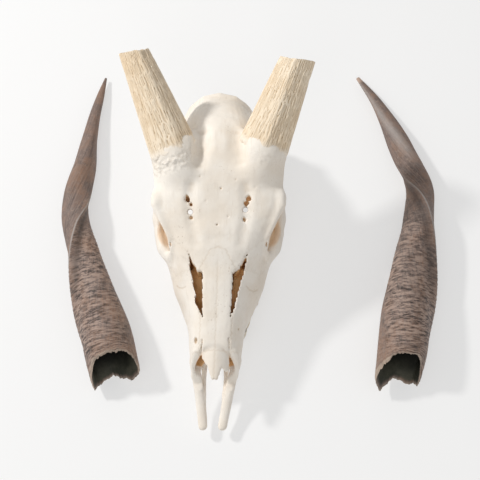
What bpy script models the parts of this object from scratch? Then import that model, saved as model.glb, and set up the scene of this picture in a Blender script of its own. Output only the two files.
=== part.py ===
"""Bushbuck skull with bare cut horn cores, and its two loose horn sheaths, as they lie in the photo.

The skull is shaped as a distance field from lofted sections, rods and balls, meshed as one piece, and
parted into its bones with thin cuts. The sheaths and the cores are swept from their own section rules.
Sizes are millimetres until place(). X is across (+ is the animal's left), -Y is the muzzle, Z is up,
and zero is the floor that the cheek teeth and the tips behind the ears stand on.
"""
import math

import bmesh
import bpy
import numpy as np

MM = 0.001
STEP = 1.5              # spacing of the field grid
CELL = 1.35             # voxel of the remesh that closes the surface
SKULL_TRIS = 9000      # what the whole skull is thinned to before it is parted
GAP = 0.3               # left open between two bones
SHAVE = 0.4             # taken off the crowns and tips so that they stand flat
FAR = 99.0
SMOOTH_ROUNDS = 3
WELDS = (0.03, 0.015, 0.006, 0.002, 0.0005)   # tried in turn
PAIRED = ("nasal", "premaxilla", "frontal", "maxilla")   # bones that the midline seam halves

TOOTH_FLOOR = 0.0       # crowns stand here
TIP_FLOOR = 0.0         # tips of the paracondylar processes
BEND_FROM, BEND_TO = -10.0, -133.0   # the muzzle bends to the animal's right between these
BEND = 4.4              # how far its tips have moved over
SKULL_AT = (-21.6, -9.0)   # skull's own zero in the part's frame
SHEATH_AT = (-6.5, -13.0)  # shift of the sheath paths, which are drawn from the middle of the photo
WALL = 3.0              # wall of a horn sheath at its mouth
MOUTH_DEPTH = 0.62      # share of the sheath that is hollow

BONE = (0.84, 0.79, 0.68)
CREAM = (0.80, 0.70, 0.50)
HORN = (0.12, 0.085, 0.06)

# Sections. Each row: y, then half-profile points (x, z) from the top middle round to the bottom middle.
FACE = [
    (-94, (0, 45.8), (7, 44.8), (13.2, 40), (16.6, 32), (15.2, 25), (11, 21), (6, 20), (0, 20)),
    (-82, (0, 49.4), (8.5, 48.2), (15.3, 42.5), (18.6, 33), (17, 24), (12, 19.5), (6, 18.5), (0, 18.5)),
    (-66, (0, 54.3), (10, 53), (16.8, 46.5), (20.2, 34), (19.5, 22), (14, 14.5), (7, 16.5), (0, 17)),
    (-54, (0, 58.2), (11.4, 56.6), (18.5, 49), (23.9, 34), (23.4, 18), (16, 12.5), (7, 16), (0, 17)),
    (-37, (0, 64.2), (12.5, 62.3), (23, 53), (31.4, 37), (29.6, 19), (19.5, 11.5), (8, 16), (0, 17)),
    (-26, (0, 68.2), (14, 66.4), (27, 57), (34, 37), (32, 20), (21, 11.5), (9, 16), (0, 17)),
    (-16, (0, 72), (15.5, 71), (28.5, 64), (33.5, 47), (31.5, 22), (21.5, 12), (10, 16.5), (0, 18)),
    (-5, (0, 76), (16, 75), (28, 66), (29, 50), (28, 26), (21.5, 13), (12, 17), (0, 20)),
    (4, (0, 76), (10, 74), (18, 62), (21, 48), (23, 28), (20, 16), (13, 18), (0, 24)),
]
ROOF = [
    (-34, (0, 60), (10, 59), (18, 56), (22, 53), (18, 50), (10, 50), (0, 50)),
    (-20, (0, 70.6), (14, 69.4), (24, 65), (28, 60), (22, 56), (12, 55), (0, 55)),
    (-8, (0, 75.3), (16, 75.2), (28.5, 72), (34, 66.5), (29, 61), (14, 58), (0, 58)),
    (4, (0, 80), (20, 80.2), (34, 78.2), (41.4, 73), (35, 67.5), (16, 62), (0, 62)),
    (14, (0, 84), (20, 83.8), (37, 81.7), (45.8, 76.6), (40, 70.5), (18, 66), (0, 66)),
    (26, (0, 88.6), (20, 87.8), (37, 84.6), (45.6, 78.6), (40, 71), (20, 68), (0, 68)),
    (40, (0, 92.6), (18, 93), (34, 91), (45, 82.5), (40, 72), (22, 68), (0, 68)),
    (52, (0, 94), (16, 94.4), (31, 92), (40, 82), (34, 72), (20, 68), (0, 68)),
    (61, (0, 91.6), (14, 91), (23, 87), (28, 80), (24, 70), (14, 66), (0, 66)),
]
BODY = [
    (-8, (0, 74), (12, 72), (21, 62), (22, 46), (20, 28), (15, 16), (8, 19), (0, 20)),
    (6, (0, 78), (12, 76), (19, 64), (17, 48), (14, 32), (12, 17), (7, 20), (0, 22)),
    (18, (0, 84), (14, 82), (19, 66), (14.5, 48), (11, 34), (9.5, 20), (5, 23), (0, 26)),
    (32, (0, 88), (16, 86), (24, 72), (22, 54), (16, 38), (9.5, 24), (5, 24), (0, 25)),
    (48, (0, 92), (16, 90), (26, 78), (29.5, 60), (25, 42), (14, 27), (6, 24), (0, 24)),
    (62, (0, 91), (15.5, 88.8), (25.5, 77), (30, 59), (28.5, 40), (16, 27), (7, 22), (0, 22)),
    (78, (0, 86.6), (13.8, 84.8), (23.2, 75), (28.4, 57), (28, 38), (17, 26), (8, 21), (0, 20)),
    (90, (0, 80), (11.8, 78.2), (20.4, 69), (26.4, 53), (27.5, 37), (17, 26), (8, 20), (0, 19)),
    (100, (0, 71.5), (10.4, 69.5), (17.8, 62), (23, 49), (23.4, 37), (15, 27), (8, 21), (0, 20)),
]
NOSE_HOLLOW = [
    (-110, (0, 43), (5, 42), (9.5, 38), (12.6, 32), (11.5, 27), (6, 24.5), (0, 24)),
    (-94, (0, 43), (6, 42), (10.5, 38), (13.8, 32), (12.5, 27), (6, 24.5), (0, 24)),
    (-80, (0, 46.8), (6, 45.6), (11.6, 40.5), (15.4, 33), (13.5, 27), (6, 24.5), (0, 24.5)),
    (-60, (0, 53), (8, 51.3), (13.8, 45), (18, 35), (15.5, 27), (8, 24), (0, 24)),
    (-40, (0, 59.8), (10, 57.8), (17.5, 50), (24.5, 38), (19, 28), (9, 25), (0, 25)),
    (-24, (0, 64.6), (11, 62.2), (20, 55), (26, 42), (18, 30), (9, 26), (0, 26)),
    (-8, (0, 66), (10, 64), (15.5, 54), (16.5, 42), (13, 32), (8, 27), (0, 27)),
    (4, (0, 58), (6, 56), (9, 50), (10, 42), (9, 34), (5, 29), (0, 28)),
]

NOSE_SLANT = ((-98.0, 27.0), (-86.5, 43.0))   # side edge of the nose opening, (y, z) low and high

# Cheek teeth of one side: y of the middle, x of the middle, length, width, lobes.
TEETH = [
    (-60.5, 17.4, 8.0, 7.5, 1), (-52.4, 19.0, 8.6, 9.0, 1), (-43.8, 20.8, 8.4, 10.5, 1),
    (-33.4, 23.2, 12.0, 12.4, 2), (-20.6, 25.0, 13.4, 13.2, 2), (-6.4, 24.6, 14.4, 12.4, 2),
]
CROWN_HEIGHT = 13.0

# Horn cores: middle of the base, middle of the cut end, radius at base and end.
CORE_RIGHT = ((-29.6, 44.0, 85.5), (-59.1, 107.4, 124.0), 18.0, 10.2)
CORE_LEFT = ((29.6, 47.0, 85.5), (55.3, 103.7, 120.0), 18.4, 11.6)
CORE_STEPS = 14
CORE_SIDES = 22
CORE_CUT = 0.24         # lean of the cut end, longer on the outer side

# Sheath stations from the mouth to the tip: y, x and z of the middle, full width, angle of the keel in
# degrees measured from +X over the top. Seen from above in the photo; heights follow from lying down.
SHEATH_RIGHT = [
    (-90, -89.8, 20.0, 38.6, 236), (-75, -93.8, 20.2, 38.4, 222), (-60, -97.4, 20.0, 37.4, 210),
    (-44, -102.4, 19.4, 34.8, 196), (-26, -108.0, 18.4, 30.2, 176), (-5, -115.0, 17.4, 25.2, 146),
    (21, -123.0, 16.5, 22.4, 88), (41, -125.8, 15.0, 21.0, 32), (59, -125.4, 13.6, 20.0, 0),
    (82, -121.4, 11.6, 16.8, -30), (106, -118.6, 9.6, 12.0, -55), (126, -116.0, 7.8, 9.0, -75),
    (144, -112.8, 6.2, 6.2, -90), (161, -109.6, 5.0, 1.8, -100),
]
SHEATH_LEFT = [
    (-90, 113.9, 19.6, 37.2, -58), (-78, 116.8, 19.8, 37.4, -48), (-64, 119.2, 20.0, 37.8, -38),
    (-45, 121.8, 20.0, 37.8, -22), (-24, 125.4, 19.4, 35.2, -2), (2, 130.4, 18.0, 29.4, 20),
    (20, 134.6, 16.8, 25.0, 42), (41, 137.8, 15.4, 23.0, 80), (57, 138.2, 14.4, 21.8, 125),
    (74, 134.4, 13.0, 19.2, 165), (89, 129.6, 12.0, 17.8, 195), (104, 124.2, 10.8, 16.4, 215),
    (122, 116.8, 8.8, 12.8, 235), (140, 108.6, 6.8, 8.4, 250), (161, 96.2, 5.2, 3.0, 262),
]
# The broken mouth: angles as above, and how far its edge is set back there (or stands out, below 0).
RIM_RIGHT = ((0, 45, 90, 135, 160, 215, 260, 315), (0, 11, 11, 7, -1, -9, 2, -2))
RIM_LEFT = ((0, 45, 90, 135, 165, 215, 265, 325), (4, 9, 10, 5, -2, -11, 0, -6.6))
RIM_REACH = 0.16        # share of the sheath over which that fades
SHEATH_RINGS = 26
SHEATH_SIDES = 20
KEEL = 0.17             # how far the keel stands out, as a share of the radius


def curve(rows, at):
    """Smooth values between rows of numbers keyed by their first column, at sorted places."""
    rows = np.asarray(rows, float)
    keys, values = rows[:, 0], rows[:, 1:]
    slopes = np.gradient(values, keys, axis=0)
    at = np.clip(np.asarray(at, float), keys[0], keys[-1])
    i = np.clip(np.searchsorted(keys, at) - 1, 0, len(keys) - 2)
    span = (keys[i + 1] - keys[i])[:, None]
    t = ((at - keys[i])[:, None]) / span
    a, b = values[i], values[i + 1]
    ma, mb = slopes[i] * span, slopes[i + 1] * span
    return ((2 * t**3 - 3 * t**2 + 1) * a + (t**3 - 2 * t**2 + t) * ma
            + (3 * t**2 - 2 * t**3) * b + (t**3 - t**2) * mb)


def closed_ring(half, parts=3):
    """A full smooth ring of points from half-profile points on the x >= 0 side."""
    half = np.asarray(half, float)
    mirror = half[-2:0:-1] * (-1, 1)
    ring = np.vstack([half, mirror])
    p0, p1 = np.roll(ring, 1, 0), ring
    p2, p3 = np.roll(ring, -1, 0), np.roll(ring, -2, 0)
    out = []
    for k in range(parts):
        t = k / parts
        out.append(0.5 * (2 * p1 + (p2 - p0) * t + (2 * p0 - 5 * p1 + 4 * p2 - p3) * t**2
                          + (3 * p1 - p0 - 3 * p2 + p3) * t**3))
    return np.stack(out, 1).reshape(-1, 2)


def inside_ring(x, z, ring):
    """Signed distance from (x, z) to a closed ring, negative inside."""
    best = np.full(np.broadcast(x, z).shape, FAR**2)
    crossings = np.zeros(best.shape, bool)
    for (ax, az), (bx, bz) in zip(ring, np.roll(ring, -1, 0)):
        ex, ez = bx - ax, bz - az
        t = np.clip(((x - ax) * ex + (z - az) * ez) / (ex * ex + ez * ez + 1e-9), 0, 1)
        best = np.minimum(best, (x - ax - ex * t)**2 + (z - az - ez * t)**2)
        if az != bz:
            hit = ((az > z) != (bz > z)) & (x < ax + (z - az) * ex / ez)
            crossings ^= hit
    return np.where(crossings, -1, 1) * np.sqrt(best)


class Field:
    """Distances on a grid over the x >= 0 half of the skull."""

    def __init__(self, low, high, step):
        self.axes = [np.arange(a, b + step, step) for a, b in zip(low, high)]
        self.value = np.full([len(a) for a in self.axes], FAR, np.float32)

    def window(self, low, high):
        cuts = [slice(max(0, np.searchsorted(a, lo) - 1), np.searchsorted(a, hi) + 1)
                for a, lo, hi in zip(self.axes, low, high)]
        x, y, z = (a[c] for a, c in zip(self.axes, cuts))
        return tuple(cuts), x[:, None, None], y[None, :, None], z[None, None, :]

    def merge(self, shape, blend, cut=False):
        low, high, distance = shape
        reach = 2 * blend + 3
        cuts, x, y, z = self.window([v - reach for v in low], [v + reach for v in high])
        old = self.value[cuts]
        new = distance(x, y, z)
        if cut:
            new, old = -new, old
            h = np.clip(0.5 + 0.5 * (new - old) / blend, 0, 1)
            self.value[cuts] = old + (new - old) * h + blend * h * (1 - h)
        else:
            h = np.clip(0.5 + 0.5 * (old - new) / blend, 0, 1)
            self.value[cuts] = old + (new - old) * h - blend * h * (1 - h)

    def add(self, shape, blend=2.5):
        self.merge(shape, blend)

    def cut(self, shape, blend=0.8):
        self.merge(shape, blend, cut=True)


def loft(rows):
    """Body through half-profiles, capped at its first and last row."""
    keys = [r[0] for r in rows]
    table = [[r[0]] + [v for p in r[1:] for v in p] for r in rows]
    flat = np.array([p for r in rows for p in r[1:]])

    def distance(x, y, z):
        places = y.ravel()
        halves = curve(table, places)
        out = []
        for place, half in zip(places, halves):
            flat_distance = inside_ring(x[:, 0], z[0], closed_ring(half.reshape(-1, 2)))
            past = max(keys[0] - place, place - keys[-1])
            if past > 0:
                flat_distance = np.hypot(np.maximum(flat_distance, 0), past)
            else:
                flat_distance = np.maximum(flat_distance, past)
            out.append(flat_distance)
        return np.stack(out, 1)

    low = (0, keys[0], flat[:, 1].min())
    high = (flat[:, 0].max(), keys[-1], flat[:, 1].max())
    return low, high, distance


def ball(middle, radii):
    """Ellipsoid."""
    m, r = np.array(middle, float), np.array(radii, float)

    def distance(x, y, z):
        a, b, c = (x - m[0]) / r[0], (y - m[1]) / r[1], (z - m[2]) / r[2]
        k = np.sqrt(a * a + b * b + c * c)
        g = np.sqrt((a / r[0])**2 + (b / r[1])**2 + (c / r[2])**2) + 1e-6
        return k * (k - 1) / g

    return m - r, m + r, distance


def rod(points, radii, squash=(1, 1, 1)):
    """Round bar through points with its own radius at each; squash divides it along x, y, z."""
    s = np.array(squash, float)
    p = np.array(points, float) * s
    r = np.broadcast_to(np.array(radii, float), (len(p),))

    def distance(x, y, z):
        x, y, z = x * s[0], y * s[1], z * s[2]
        best = FAR
        for a, b, ra, rb in zip(p[:-1], p[1:], r[:-1], r[1:]):
            e = b - a
            t = ((x - a[0]) * e[0] + (y - a[1]) * e[1] + (z - a[2]) * e[2]) / (e @ e)
            t = np.clip(t, 0, 1)
            gap = np.sqrt((x - a[0] - e[0] * t)**2 + (y - a[1] - e[1] * t)**2
                          + (z - a[2] - e[2] * t)**2)
            best = np.minimum(best, gap - ra - (rb - ra) * t)
        return best / s.max()

    reach = r.max() / s
    raw = np.array(points, float)
    return raw.min(0) - reach, raw.max(0) + reach, distance


def block(low, high, rounding=1.0):
    """Box with rounded edges."""
    low, high = np.array(low, float), np.array(high, float)
    m, h = (low + high) / 2, (high - low) / 2 - rounding

    def distance(x, y, z):
        q = [abs(v - c) - e for v, c, e in zip((x, y, z), m, h)]
        outside = np.sqrt(sum(np.maximum(v, 0)**2 for v in q))
        return outside + np.minimum(np.maximum(np.maximum(q[0], q[1]), q[2]), 0) - rounding

    return low, high, distance


def slant(line):
    """All that lies in front of a leaning plane through two (y, z) places, low and high."""
    (y0, z0), (y1, z1) = line
    lean = (y1 - y0) / (z1 - z0)

    def distance(x, y, z):
        return (y - y0 - (z - z0) * lean) / math.hypot(1, lean) + 0 * x

    return (-30, y0 - 14, z0), (30, y1, z1 + 12), distance


def premaxilla(f):
    """Flat bar of the muzzle and its rising plate."""
    f.add(rod([(14.4, -88, 28), (12.6, -97, 23), (10.8, -106, 18), (9.2, -115, 14.2), (7.8, -124, 11.6),
               (6.9, -130.2, 10.4)], [4.0, 3.8, 3.6, 3.6, 3.5, 3.4], (1, 1, 1.25)), 2)
    f.add(rod([(14.0, -98, 26), (14.2, -92, 34), (13.4, -85, 41.5)], [3.2, 2.8, 2.4], (1.2, 1, 1)), 2)


def palate_rods(f):
    """Thin rod of each premaxilla beside the gap in the front of the palate."""
    f.add(rod([(8.0, -86, 20), (7.8, -97, 17.0), (6.9, -110, 13.8), (8.2, -119, 12.4)],
              [2.4, 1.5, 1.4, 1.8]), 1.2)


def cheeks(f):
    """Cheekbone, arch to the ear, bar behind the eye."""
    f.add(rod([(30, -26, 38), (34.5, -17, 43.5), (40.4, -9, 45.5), (43.6, 2, 46), (44.4, 12, 46.5)],
              [4, 4.4, 4.2, 3.8, 3.8], (1.15, 1, 0.8)), 4)
    f.add(rod([(44.4, 12, 46.5), (44.6, 26, 47.5), (43, 40, 48), (38.5, 52, 46.5), (31, 62, 44)],
              [3.9, 3.3, 3.3, 4, 5], (1.25, 1, 0.8)), 3)
    f.add(rod([(43.5, 17, 77), (45.2, 21, 66), (45.2, 20, 56), (44.6, 16, 48)],
              [4.4, 3.2, 3.0, 3.6], (1.1, 0.85, 1)), 3)
    f.add(ball((30, 57, 39), (11, 7.5, 5)), 3)


def eye_sockets(f):
    f.cut(ball((41, 5.5, 60), (22.0, 14.5, 13.2)), 2)
    f.cut(ball((38, -4, 55.5), (19.0, 11.6, 11.0)), 2)
    f.cut(ball((28, 12, 55), (11.5, 14, 12)), 2)
    f.cut(rod([(28, 12, 54), (20, 22, 50)], [6, 3]), 2)


def eye_rims(f):
    """Raised edge round the front and the top of the socket."""
    f.add(rod([(34.2, -16, 49), (32.8, -15.2, 58), (34.6, -8.5, 67.5), (40.0, 2, 74.5), (44.4, 11.5, 78)],
              [2.6, 2.2, 2.2, 2.3, 2.6]), 2.5)


def braincase(f):
    """Crest at the nape, ear parts, condyles and the tips the skull stands on."""
    f.add(rod([(0, 103.5, 68), (11, 102, 66), (20, 97.5, 59), (26.5, 91, 47), (28, 86, 37)], 3.0), 4)
    f.add(rod([(0, 60, 27), (0, 84, 24.5), (0, 100, 24)], [8.5, 8.5, 9.5], (1, 1, 1.3)), 3)
    f.add(ball((11, 103, 25.5), (8.0, 9.0, 10.5)), 3)
    f.add(rod([(23, 94, 34), (25.5, 93, 18), (25.0, 91, 3.2)], [6.0, 4.4, 3.2], (1, 0.9, 1)), 4)
    f.add(ball((18.5, 75, 19.5), (7.5, 11.5, 10.5)), 2.5)
    f.add(rod([(24, 77, 34), (32.5, 78, 36)], [6.0, 5.6]), 3)
    f.cut(rod([(27, 77.5, 35), (42, 79, 37)], 2.9), 1)
    f.cut(ball((0, 107, 38), (9.5, 17, 8.5)), 2)


def underside(f):
    """Wings beside the rear nose opening, and that opening."""
    f.add(rod([(11.5, -2, 22), (10.5, 12, 20), (10, 26, 17), (10.4, 34, 15)], [3.4, 3.2, 2.8, 2.2],
              (1.6, 1, 0.8)), 3)
    f.cut(rod([(0, -14, 31), (0, 4, 26), (0, 22, 15), (0, 34, 6)], [9, 8.5, 8.2, 9], (1.15, 1, 1)), 1.5)
    f.cut(rod([(0, -66, 6), (0, -30, 5.5), (0, -6, 6)], [10, 12, 12.5], (0.85, 1, 1)), 3)


def nose(f):
    """Hollow of the nose, the gap in the wall beside each nasal bone, and the nasal bones' free ends."""
    f.cut(loft(NOSE_HOLLOW), 1.2)
    f.cut(rod([(0, -140, 18), (0, -124, 18), (0, -108, 20), (0, -99, 24), (0, -94, 26)],
              [4.2, 4.6, 6.4, 8.6, 10.4], (1, 1, 0.4)), 1.2)
    f.cut(slant(NOSE_SLANT), 1.2)
    f.add(rod([(0, -80, 46.2), (0, -95, 42.6)], [4.3, 3.4], (0.42, 1, 1.3)), 1.2)
    f.add(rod([(0.5, -93, 43.0), (1.6, -105.2, 40.6)], [3.6, 1.7], (0.62, 1, 1.1)), 1.2)
    f.cut(rod([(20.8, -21, 62), (17.6, -26.5, 61), (14.6, -33, 60), (12.9, -48, 56), (11.2, -57, 54),
               (9.8, -65, 52)], [0.8, 2.5, 3.1, 2.0, 1.5, 1.0], (1, 1, 0.25)), 0.8)


def teeth(f):
    """One side's cheek teeth, grown from the jaw; the crowns end at the floor."""
    for y, x, length, width, lobes in TEETH:
        lobe = length / lobes
        for k in range(lobes):
            middle = y - length / 2 + lobe * (k + 0.5)
            f.add(rod([(x, middle, CROWN_HEIGHT), (x - 0.6, middle, 2.6)],
                      [width / 2, width / 2 * 0.92], (1, width / lobe * 1.04, 1)), 0.8)
    f.cut(block((-5, -80, -30), (60, 30, TOOTH_FLOOR), 0.05), 0.3)
    f.cut(block((-5, 30, -30), (60, 130, TIP_FLOOR), 0.05), 0.3)


def skull_field(step):
    f = Field((-2 * step, -142, -4), (64, 122, 118), step)
    f.add(loft(FACE), 2)
    f.add(loft(ROOF), 5)
    f.add(loft(BODY), 5)
    premaxilla(f)
    eye_sockets(f)
    cheeks(f)
    eye_rims(f)
    braincase(f)
    underside(f)
    nose(f)
    palate_rods(f)
    teeth(f)
    horn_pedicle(f)
    return f


def horn_pedicle(f):
    """Raised seat under each horn core, and the swelling of the brow between them."""
    a, b = (np.array(p) for p in CORE_LEFT[:2])
    along = (b - a) / np.linalg.norm(b - a)
    a = a - (0.2, 1.6, 0)
    f.add(rod([a - along * 7, a + along * 1.0], [CORE_LEFT[2] - 2.4, CORE_LEFT[2] - 1.0]), 7)
    f.add(ball((0, 53, 84), (10, 17, 9)), 5)


def both_sides(f):
    """Mirror the half field into a whole one."""
    x, y, z = f.axes
    keep = x > 1e-6
    right, value = x[keep], f.value[keep]
    centre = f.value[np.argmin(abs(x))][None]
    return [np.concatenate([-right[::-1], [0.0], right]), y, z], np.concatenate([value[::-1], centre, value])


def net(axes, value):
    """Closed quads through the zero level of a grid of distances."""
    inside = value < 0
    corner = [(i, j, k) for i in (0, 1) for j in (0, 1) for k in (0, 1)]
    n = np.array(value.shape) - 1

    def shifted(a, o):
        return a[o[0]:o[0] + n[0], o[1]:o[1] + n[1], o[2]:o[2] + n[2]]

    count = sum(shifted(inside, o).astype(np.int8) for o in corner)
    cells = np.argwhere((count > 0) & (count < 8))
    index = np.full(n, -1)
    index[tuple(cells.T)] = np.arange(len(cells))
    total, hits = np.zeros((len(cells), 3)), np.zeros(len(cells))
    for a in corner:
        for axis in range(3):
            if a[axis]:
                continue
            b = list(a)
            b[axis] = 1
            va, vb = (value[tuple((cells + o).T)].astype(float) for o in (a, b))
            crossed = (va < 0) != (vb < 0)
            t = np.where(crossed, va / np.where(crossed, va - vb, 1), 0)
            spot = np.array(a, float)[None] + np.zeros((len(cells), 3))
            spot[:, axis] += t
            total += spot * crossed[:, None]
            hits += crossed
    places = cells + total / hits[:, None]
    start = np.array([a[0] for a in axes])
    step = axes[1][1] - axes[1][0]
    points = start + places * step
    faces = []
    for axis in range(3):
        u, v = (axis + 1) % 3, (axis + 2) % 3
        here = [slice(1, -1)] * 3
        here[axis] = slice(0, -1)
        there = list(here)
        there[axis] = slice(1, None)
        a, b = inside[tuple(here)], inside[tuple(there)]
        for flip, mask in ((False, a & ~b), (True, ~a & b)):
            at = np.argwhere(mask) + [0 if k == axis else 1 for k in range(3)]
            du, dv = np.eye(3, dtype=int)[u], np.eye(3, dtype=int)[v]
            quad = [index[tuple((at - s).T)] for s in (du + dv, dv, 0 * du, du)]
            faces.append(np.stack(quad[::-1] if flip else quad, 1))
    return points, np.concatenate(faces)


def new_object(name, points, faces):
    mesh = bpy.data.meshes.new(name)
    mesh.from_pydata([tuple(map(float, p)) for p in points], [], [tuple(map(int, q)) for q in faces])
    mesh.update()
    obj = bpy.data.objects.new(name, mesh)
    bpy.context.scene.collection.objects.link(obj)
    return obj


def baked(obj):
    """Replace the mesh by what its modifiers make of it."""
    graph = bpy.context.evaluated_depsgraph_get()
    mesh = bpy.data.meshes.new_from_object(obj.evaluated_get(graph))
    old = obj.data
    obj.modifiers.clear()
    obj.data = mesh
    bpy.data.meshes.remove(old)
    return obj


def boolean(obj, tool, operation):
    m = obj.modifiers.new(operation.lower(), "BOOLEAN")
    m.operation, m.solver, m.object = operation, "EXACT", tool
    return baked(obj)


def copy_of(obj, name):
    twin = bpy.data.objects.new(name, obj.data.copy())
    bpy.context.scene.collection.objects.link(twin)
    return twin


def drop(obj):
    mesh = obj.data
    bpy.data.objects.remove(obj)
    bpy.data.meshes.remove(mesh)


def largest_piece(bm):
    """Delete every connected piece but the one with most faces."""
    left, groups = set(bm.faces), []
    while left:
        stack, group = [left.pop()], []
        while stack:
            face = stack.pop()
            group.append(face)
            for edge in face.edges:
                for other in edge.link_faces:
                    if other in left:
                        left.remove(other)
                        stack.append(other)
        groups.append(group)
    groups.sort(key=len)
    for group in groups[:-1]:
        bmesh.ops.delete(bm, geom=group, context="FACES")
    bmesh.ops.delete(bm, geom=[v for v in bm.verts if not v.link_faces], context="VERTS")


def tidy(obj):
    """Weld slivers as far as the mesh stays closed, and keep the largest closed piece."""
    for weld in WELDS:
        bm = bmesh.new()
        bm.from_mesh(obj.data)
        bmesh.ops.remove_doubles(bm, verts=bm.verts, dist=weld)
        bmesh.ops.dissolve_degenerate(bm, edges=bm.edges, dist=weld)
        bmesh.ops.triangulate(bm, faces=bm.faces)
        largest_piece(bm)
        closed = all(e.is_manifold for e in bm.edges)
        if closed or weld == WELDS[-1]:
            bm.to_mesh(obj.data)
        bm.free()
        if closed:
            break
    return obj


def whole_skull():
    points, faces = net(*both_sides(skull_field(STEP)))
    obj = new_object("whole", points, faces)
    remesh = obj.modifiers.new("close", "REMESH")
    remesh.mode, remesh.voxel_size = "VOXEL", CELL
    soft = obj.modifiers.new("soften", "SMOOTH")
    soft.factor, soft.iterations = 0.4, SMOOTH_ROUNDS
    baked(obj)
    triangles = sum(len(p.vertices) - 2 for p in obj.data.polygons)
    thin = obj.modifiers.new("thin", "DECIMATE")
    thin.ratio, thin.use_collapse_triangulate = min(1.0, SKULL_TRIS / triangles), True
    baked(obj)
    floor = prism("tool", [(-160, -20), (-160, SHAVE), (140, SHAVE), (140, -20)], -70, 70)
    boolean(obj, floor, "DIFFERENCE")
    drop(floor)
    for v in obj.data.vertices:
        v.co.z -= SHAVE
    return tidy(obj)


def prism(name, outline, low, high, plane="side", grow=0.0):
    """Closed prism. A side outline is (y, z) swept across x from low to high; a top one is (x, y) swept
    up z. Its faces move out by grow."""
    p = np.array(outline, float)
    area = 0.5 * sum(a[0] * b[1] - b[0] * a[1] for a, b in zip(p, np.roll(p, -1, 0)))
    if area < 0:
        p = p[::-1]
    e = np.roll(p, -1, 0) - p
    normal = np.stack([e[:, 1], -e[:, 0]], 1) / np.linalg.norm(e, axis=1)[:, None]
    before = np.roll(normal, 1, 0)
    bis = normal + before
    bis /= (1 + (normal * before).sum(1))[:, None]
    p = p + bis * grow
    n = len(p)
    if plane == "side":
        points = [(x, a, b) for x in (low - grow, high + grow) for a, b in p]
    else:
        points = [(a, b, z) for z in (low - grow, high + grow) for a, b in p]
    faces = [tuple(range(n))[::-1], tuple(range(n, 2 * n))]
    faces += [(i, (i + 1) % n, n + (i + 1) % n, n + i) for i in range(n)]
    obj = new_object(name, points, faces)
    return obj


def take(rest, name, outline, low, high, plane="side"):
    """Cut one bone out of what is left, with a thin gap round it."""
    tool = prism("tool", outline, low, high, plane)
    bone = boolean(copy_of(rest, name), tool, "INTERSECT")
    drop(tool)
    tool = prism("tool", outline, low, high, plane, GAP)
    boolean(rest, tool, "DIFFERENCE")
    drop(tool)
    return bone if name in PAIRED else tidy(bone)


NASAL_TOP = [(-12.4, -31), (-5, -19.5), (0, -18), (5, -19.5), (12.4, -31), (12.2, -50), (11.0, -66),
             (11.0, -84), (10.6, -112), (-10.6, -112), (-11.0, -84), (-11.0, -66), (-12.2, -50)]
PREMAXILLA_SIDE = [(-150, -5), (-150, 60), (-84, 60), (-86, 40), (-93, 30), (-90, 10), (-90, -5)]
FRONTAL_SIDE = [(-24, 110), (-27, 66), (-16, 60), (-6, 62), (10, 63.5), (30, 62), (58, 70), (66, 84), (66, 110)]
CHEEK_SIDE = [(-22, 36), (-24, 46), (-14, 54.5), (4, 57), (32, 57), (36, 44), (43, 44), (43, 30), (-10, 30)]
LACRIMAL_SIDE = [(-30, 46), (-31, 64), (-20, 68), (0, 68), (0, 50), (-12, 44)]
OCCIPITAL_SIDE = [(90, 92), (94, 66), (84, 40), (86, -5), (130, -5), (130, 92)]
BASE_SIDE = [(4, 92), (4, -5), (130, -5), (130, 92)]


def part_bones(whole):
    """Split the skull along its seams into named bones."""
    rest = whole
    bones = {}
    wide = 70
    bones["nasal"] = take(rest, "nasal", NASAL_TOP, 34, 80, "top")
    bones["premaxilla"] = take(rest, "premaxilla", PREMAXILLA_SIDE, -wide, wide)
    bones["frontal"] = take(rest, "frontal", FRONTAL_SIDE, -wide, wide)
    for side, low, high in (("right", -wide, -33.2), ("left", 33.2, wide)):
        bones["zygomatic_" + side] = take(rest, "zygomatic_" + side, CHEEK_SIDE, low, high)
    for side, low, high in (("right", -wide, -18), ("left", 18, wide)):
        bones["lacrimal_" + side] = take(rest, "lacrimal_" + side, LACRIMAL_SIDE, low, high)
    bones["occipital"] = take(rest, "occipital", OCCIPITAL_SIDE, -wide, wide)
    bones["braincase"] = take(rest, "braincase", BASE_SIDE, -wide, wide)
    bones["maxilla"] = rest
    out = {}
    for name, obj in bones.items():
        if name in PAIRED:
            for side, low, high in (("right", -wide, -GAP / 2), ("left", GAP / 2, wide)):
                half = copy_of(obj, f"{name}_{side}")
                box = prism("tool", [(-160, -20), (-160, 120), (140, 120), (140, -20)], low, high)
                out[half.name] = tidy(boolean(half, box, "INTERSECT"))
                drop(box)
            drop(obj)
        else:
            out[name] = obj
    return out


def frame_along(path):
    """Two cross directions at each point of a path: one level, one upright to the path."""
    path = np.asarray(path)
    tangent = np.gradient(path, axis=0)
    tangent /= np.linalg.norm(tangent, axis=1)[:, None]
    level = np.cross(tangent, (0, 0, 1))
    level /= np.linalg.norm(level, axis=1)[:, None]
    upright = np.cross(level, tangent)
    return tangent, level, upright


def swept(name, rings):
    """Closed mesh through rings of points, with a point at each end."""
    count = len(rings[0])
    points = [rings[0].mean(0)] + [p for ring in rings for p in ring] + [rings[-1].mean(0)]
    faces = [(0, 1 + (i + 1) % count, 1 + i) for i in range(count)]
    for r in range(len(rings) - 1):
        a, b = 1 + r * count, 1 + (r + 1) * count
        for i in range(count):
            j = (i + 1) % count
            faces += [(a + i, a + j, b + j), (a + i, b + j, b + i)]
    a, last = 1 + (len(rings) - 1) * count, len(points) - 1
    faces += [(last, a + i, a + (i + 1) % count) for i in range(count)]
    obj = new_object(name, points, faces)
    bm = bmesh.new()
    bm.from_mesh(obj.data)
    bmesh.ops.recalc_face_normals(bm, faces=bm.faces)
    bm.to_mesh(obj.data)
    bm.free()
    return obj


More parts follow.
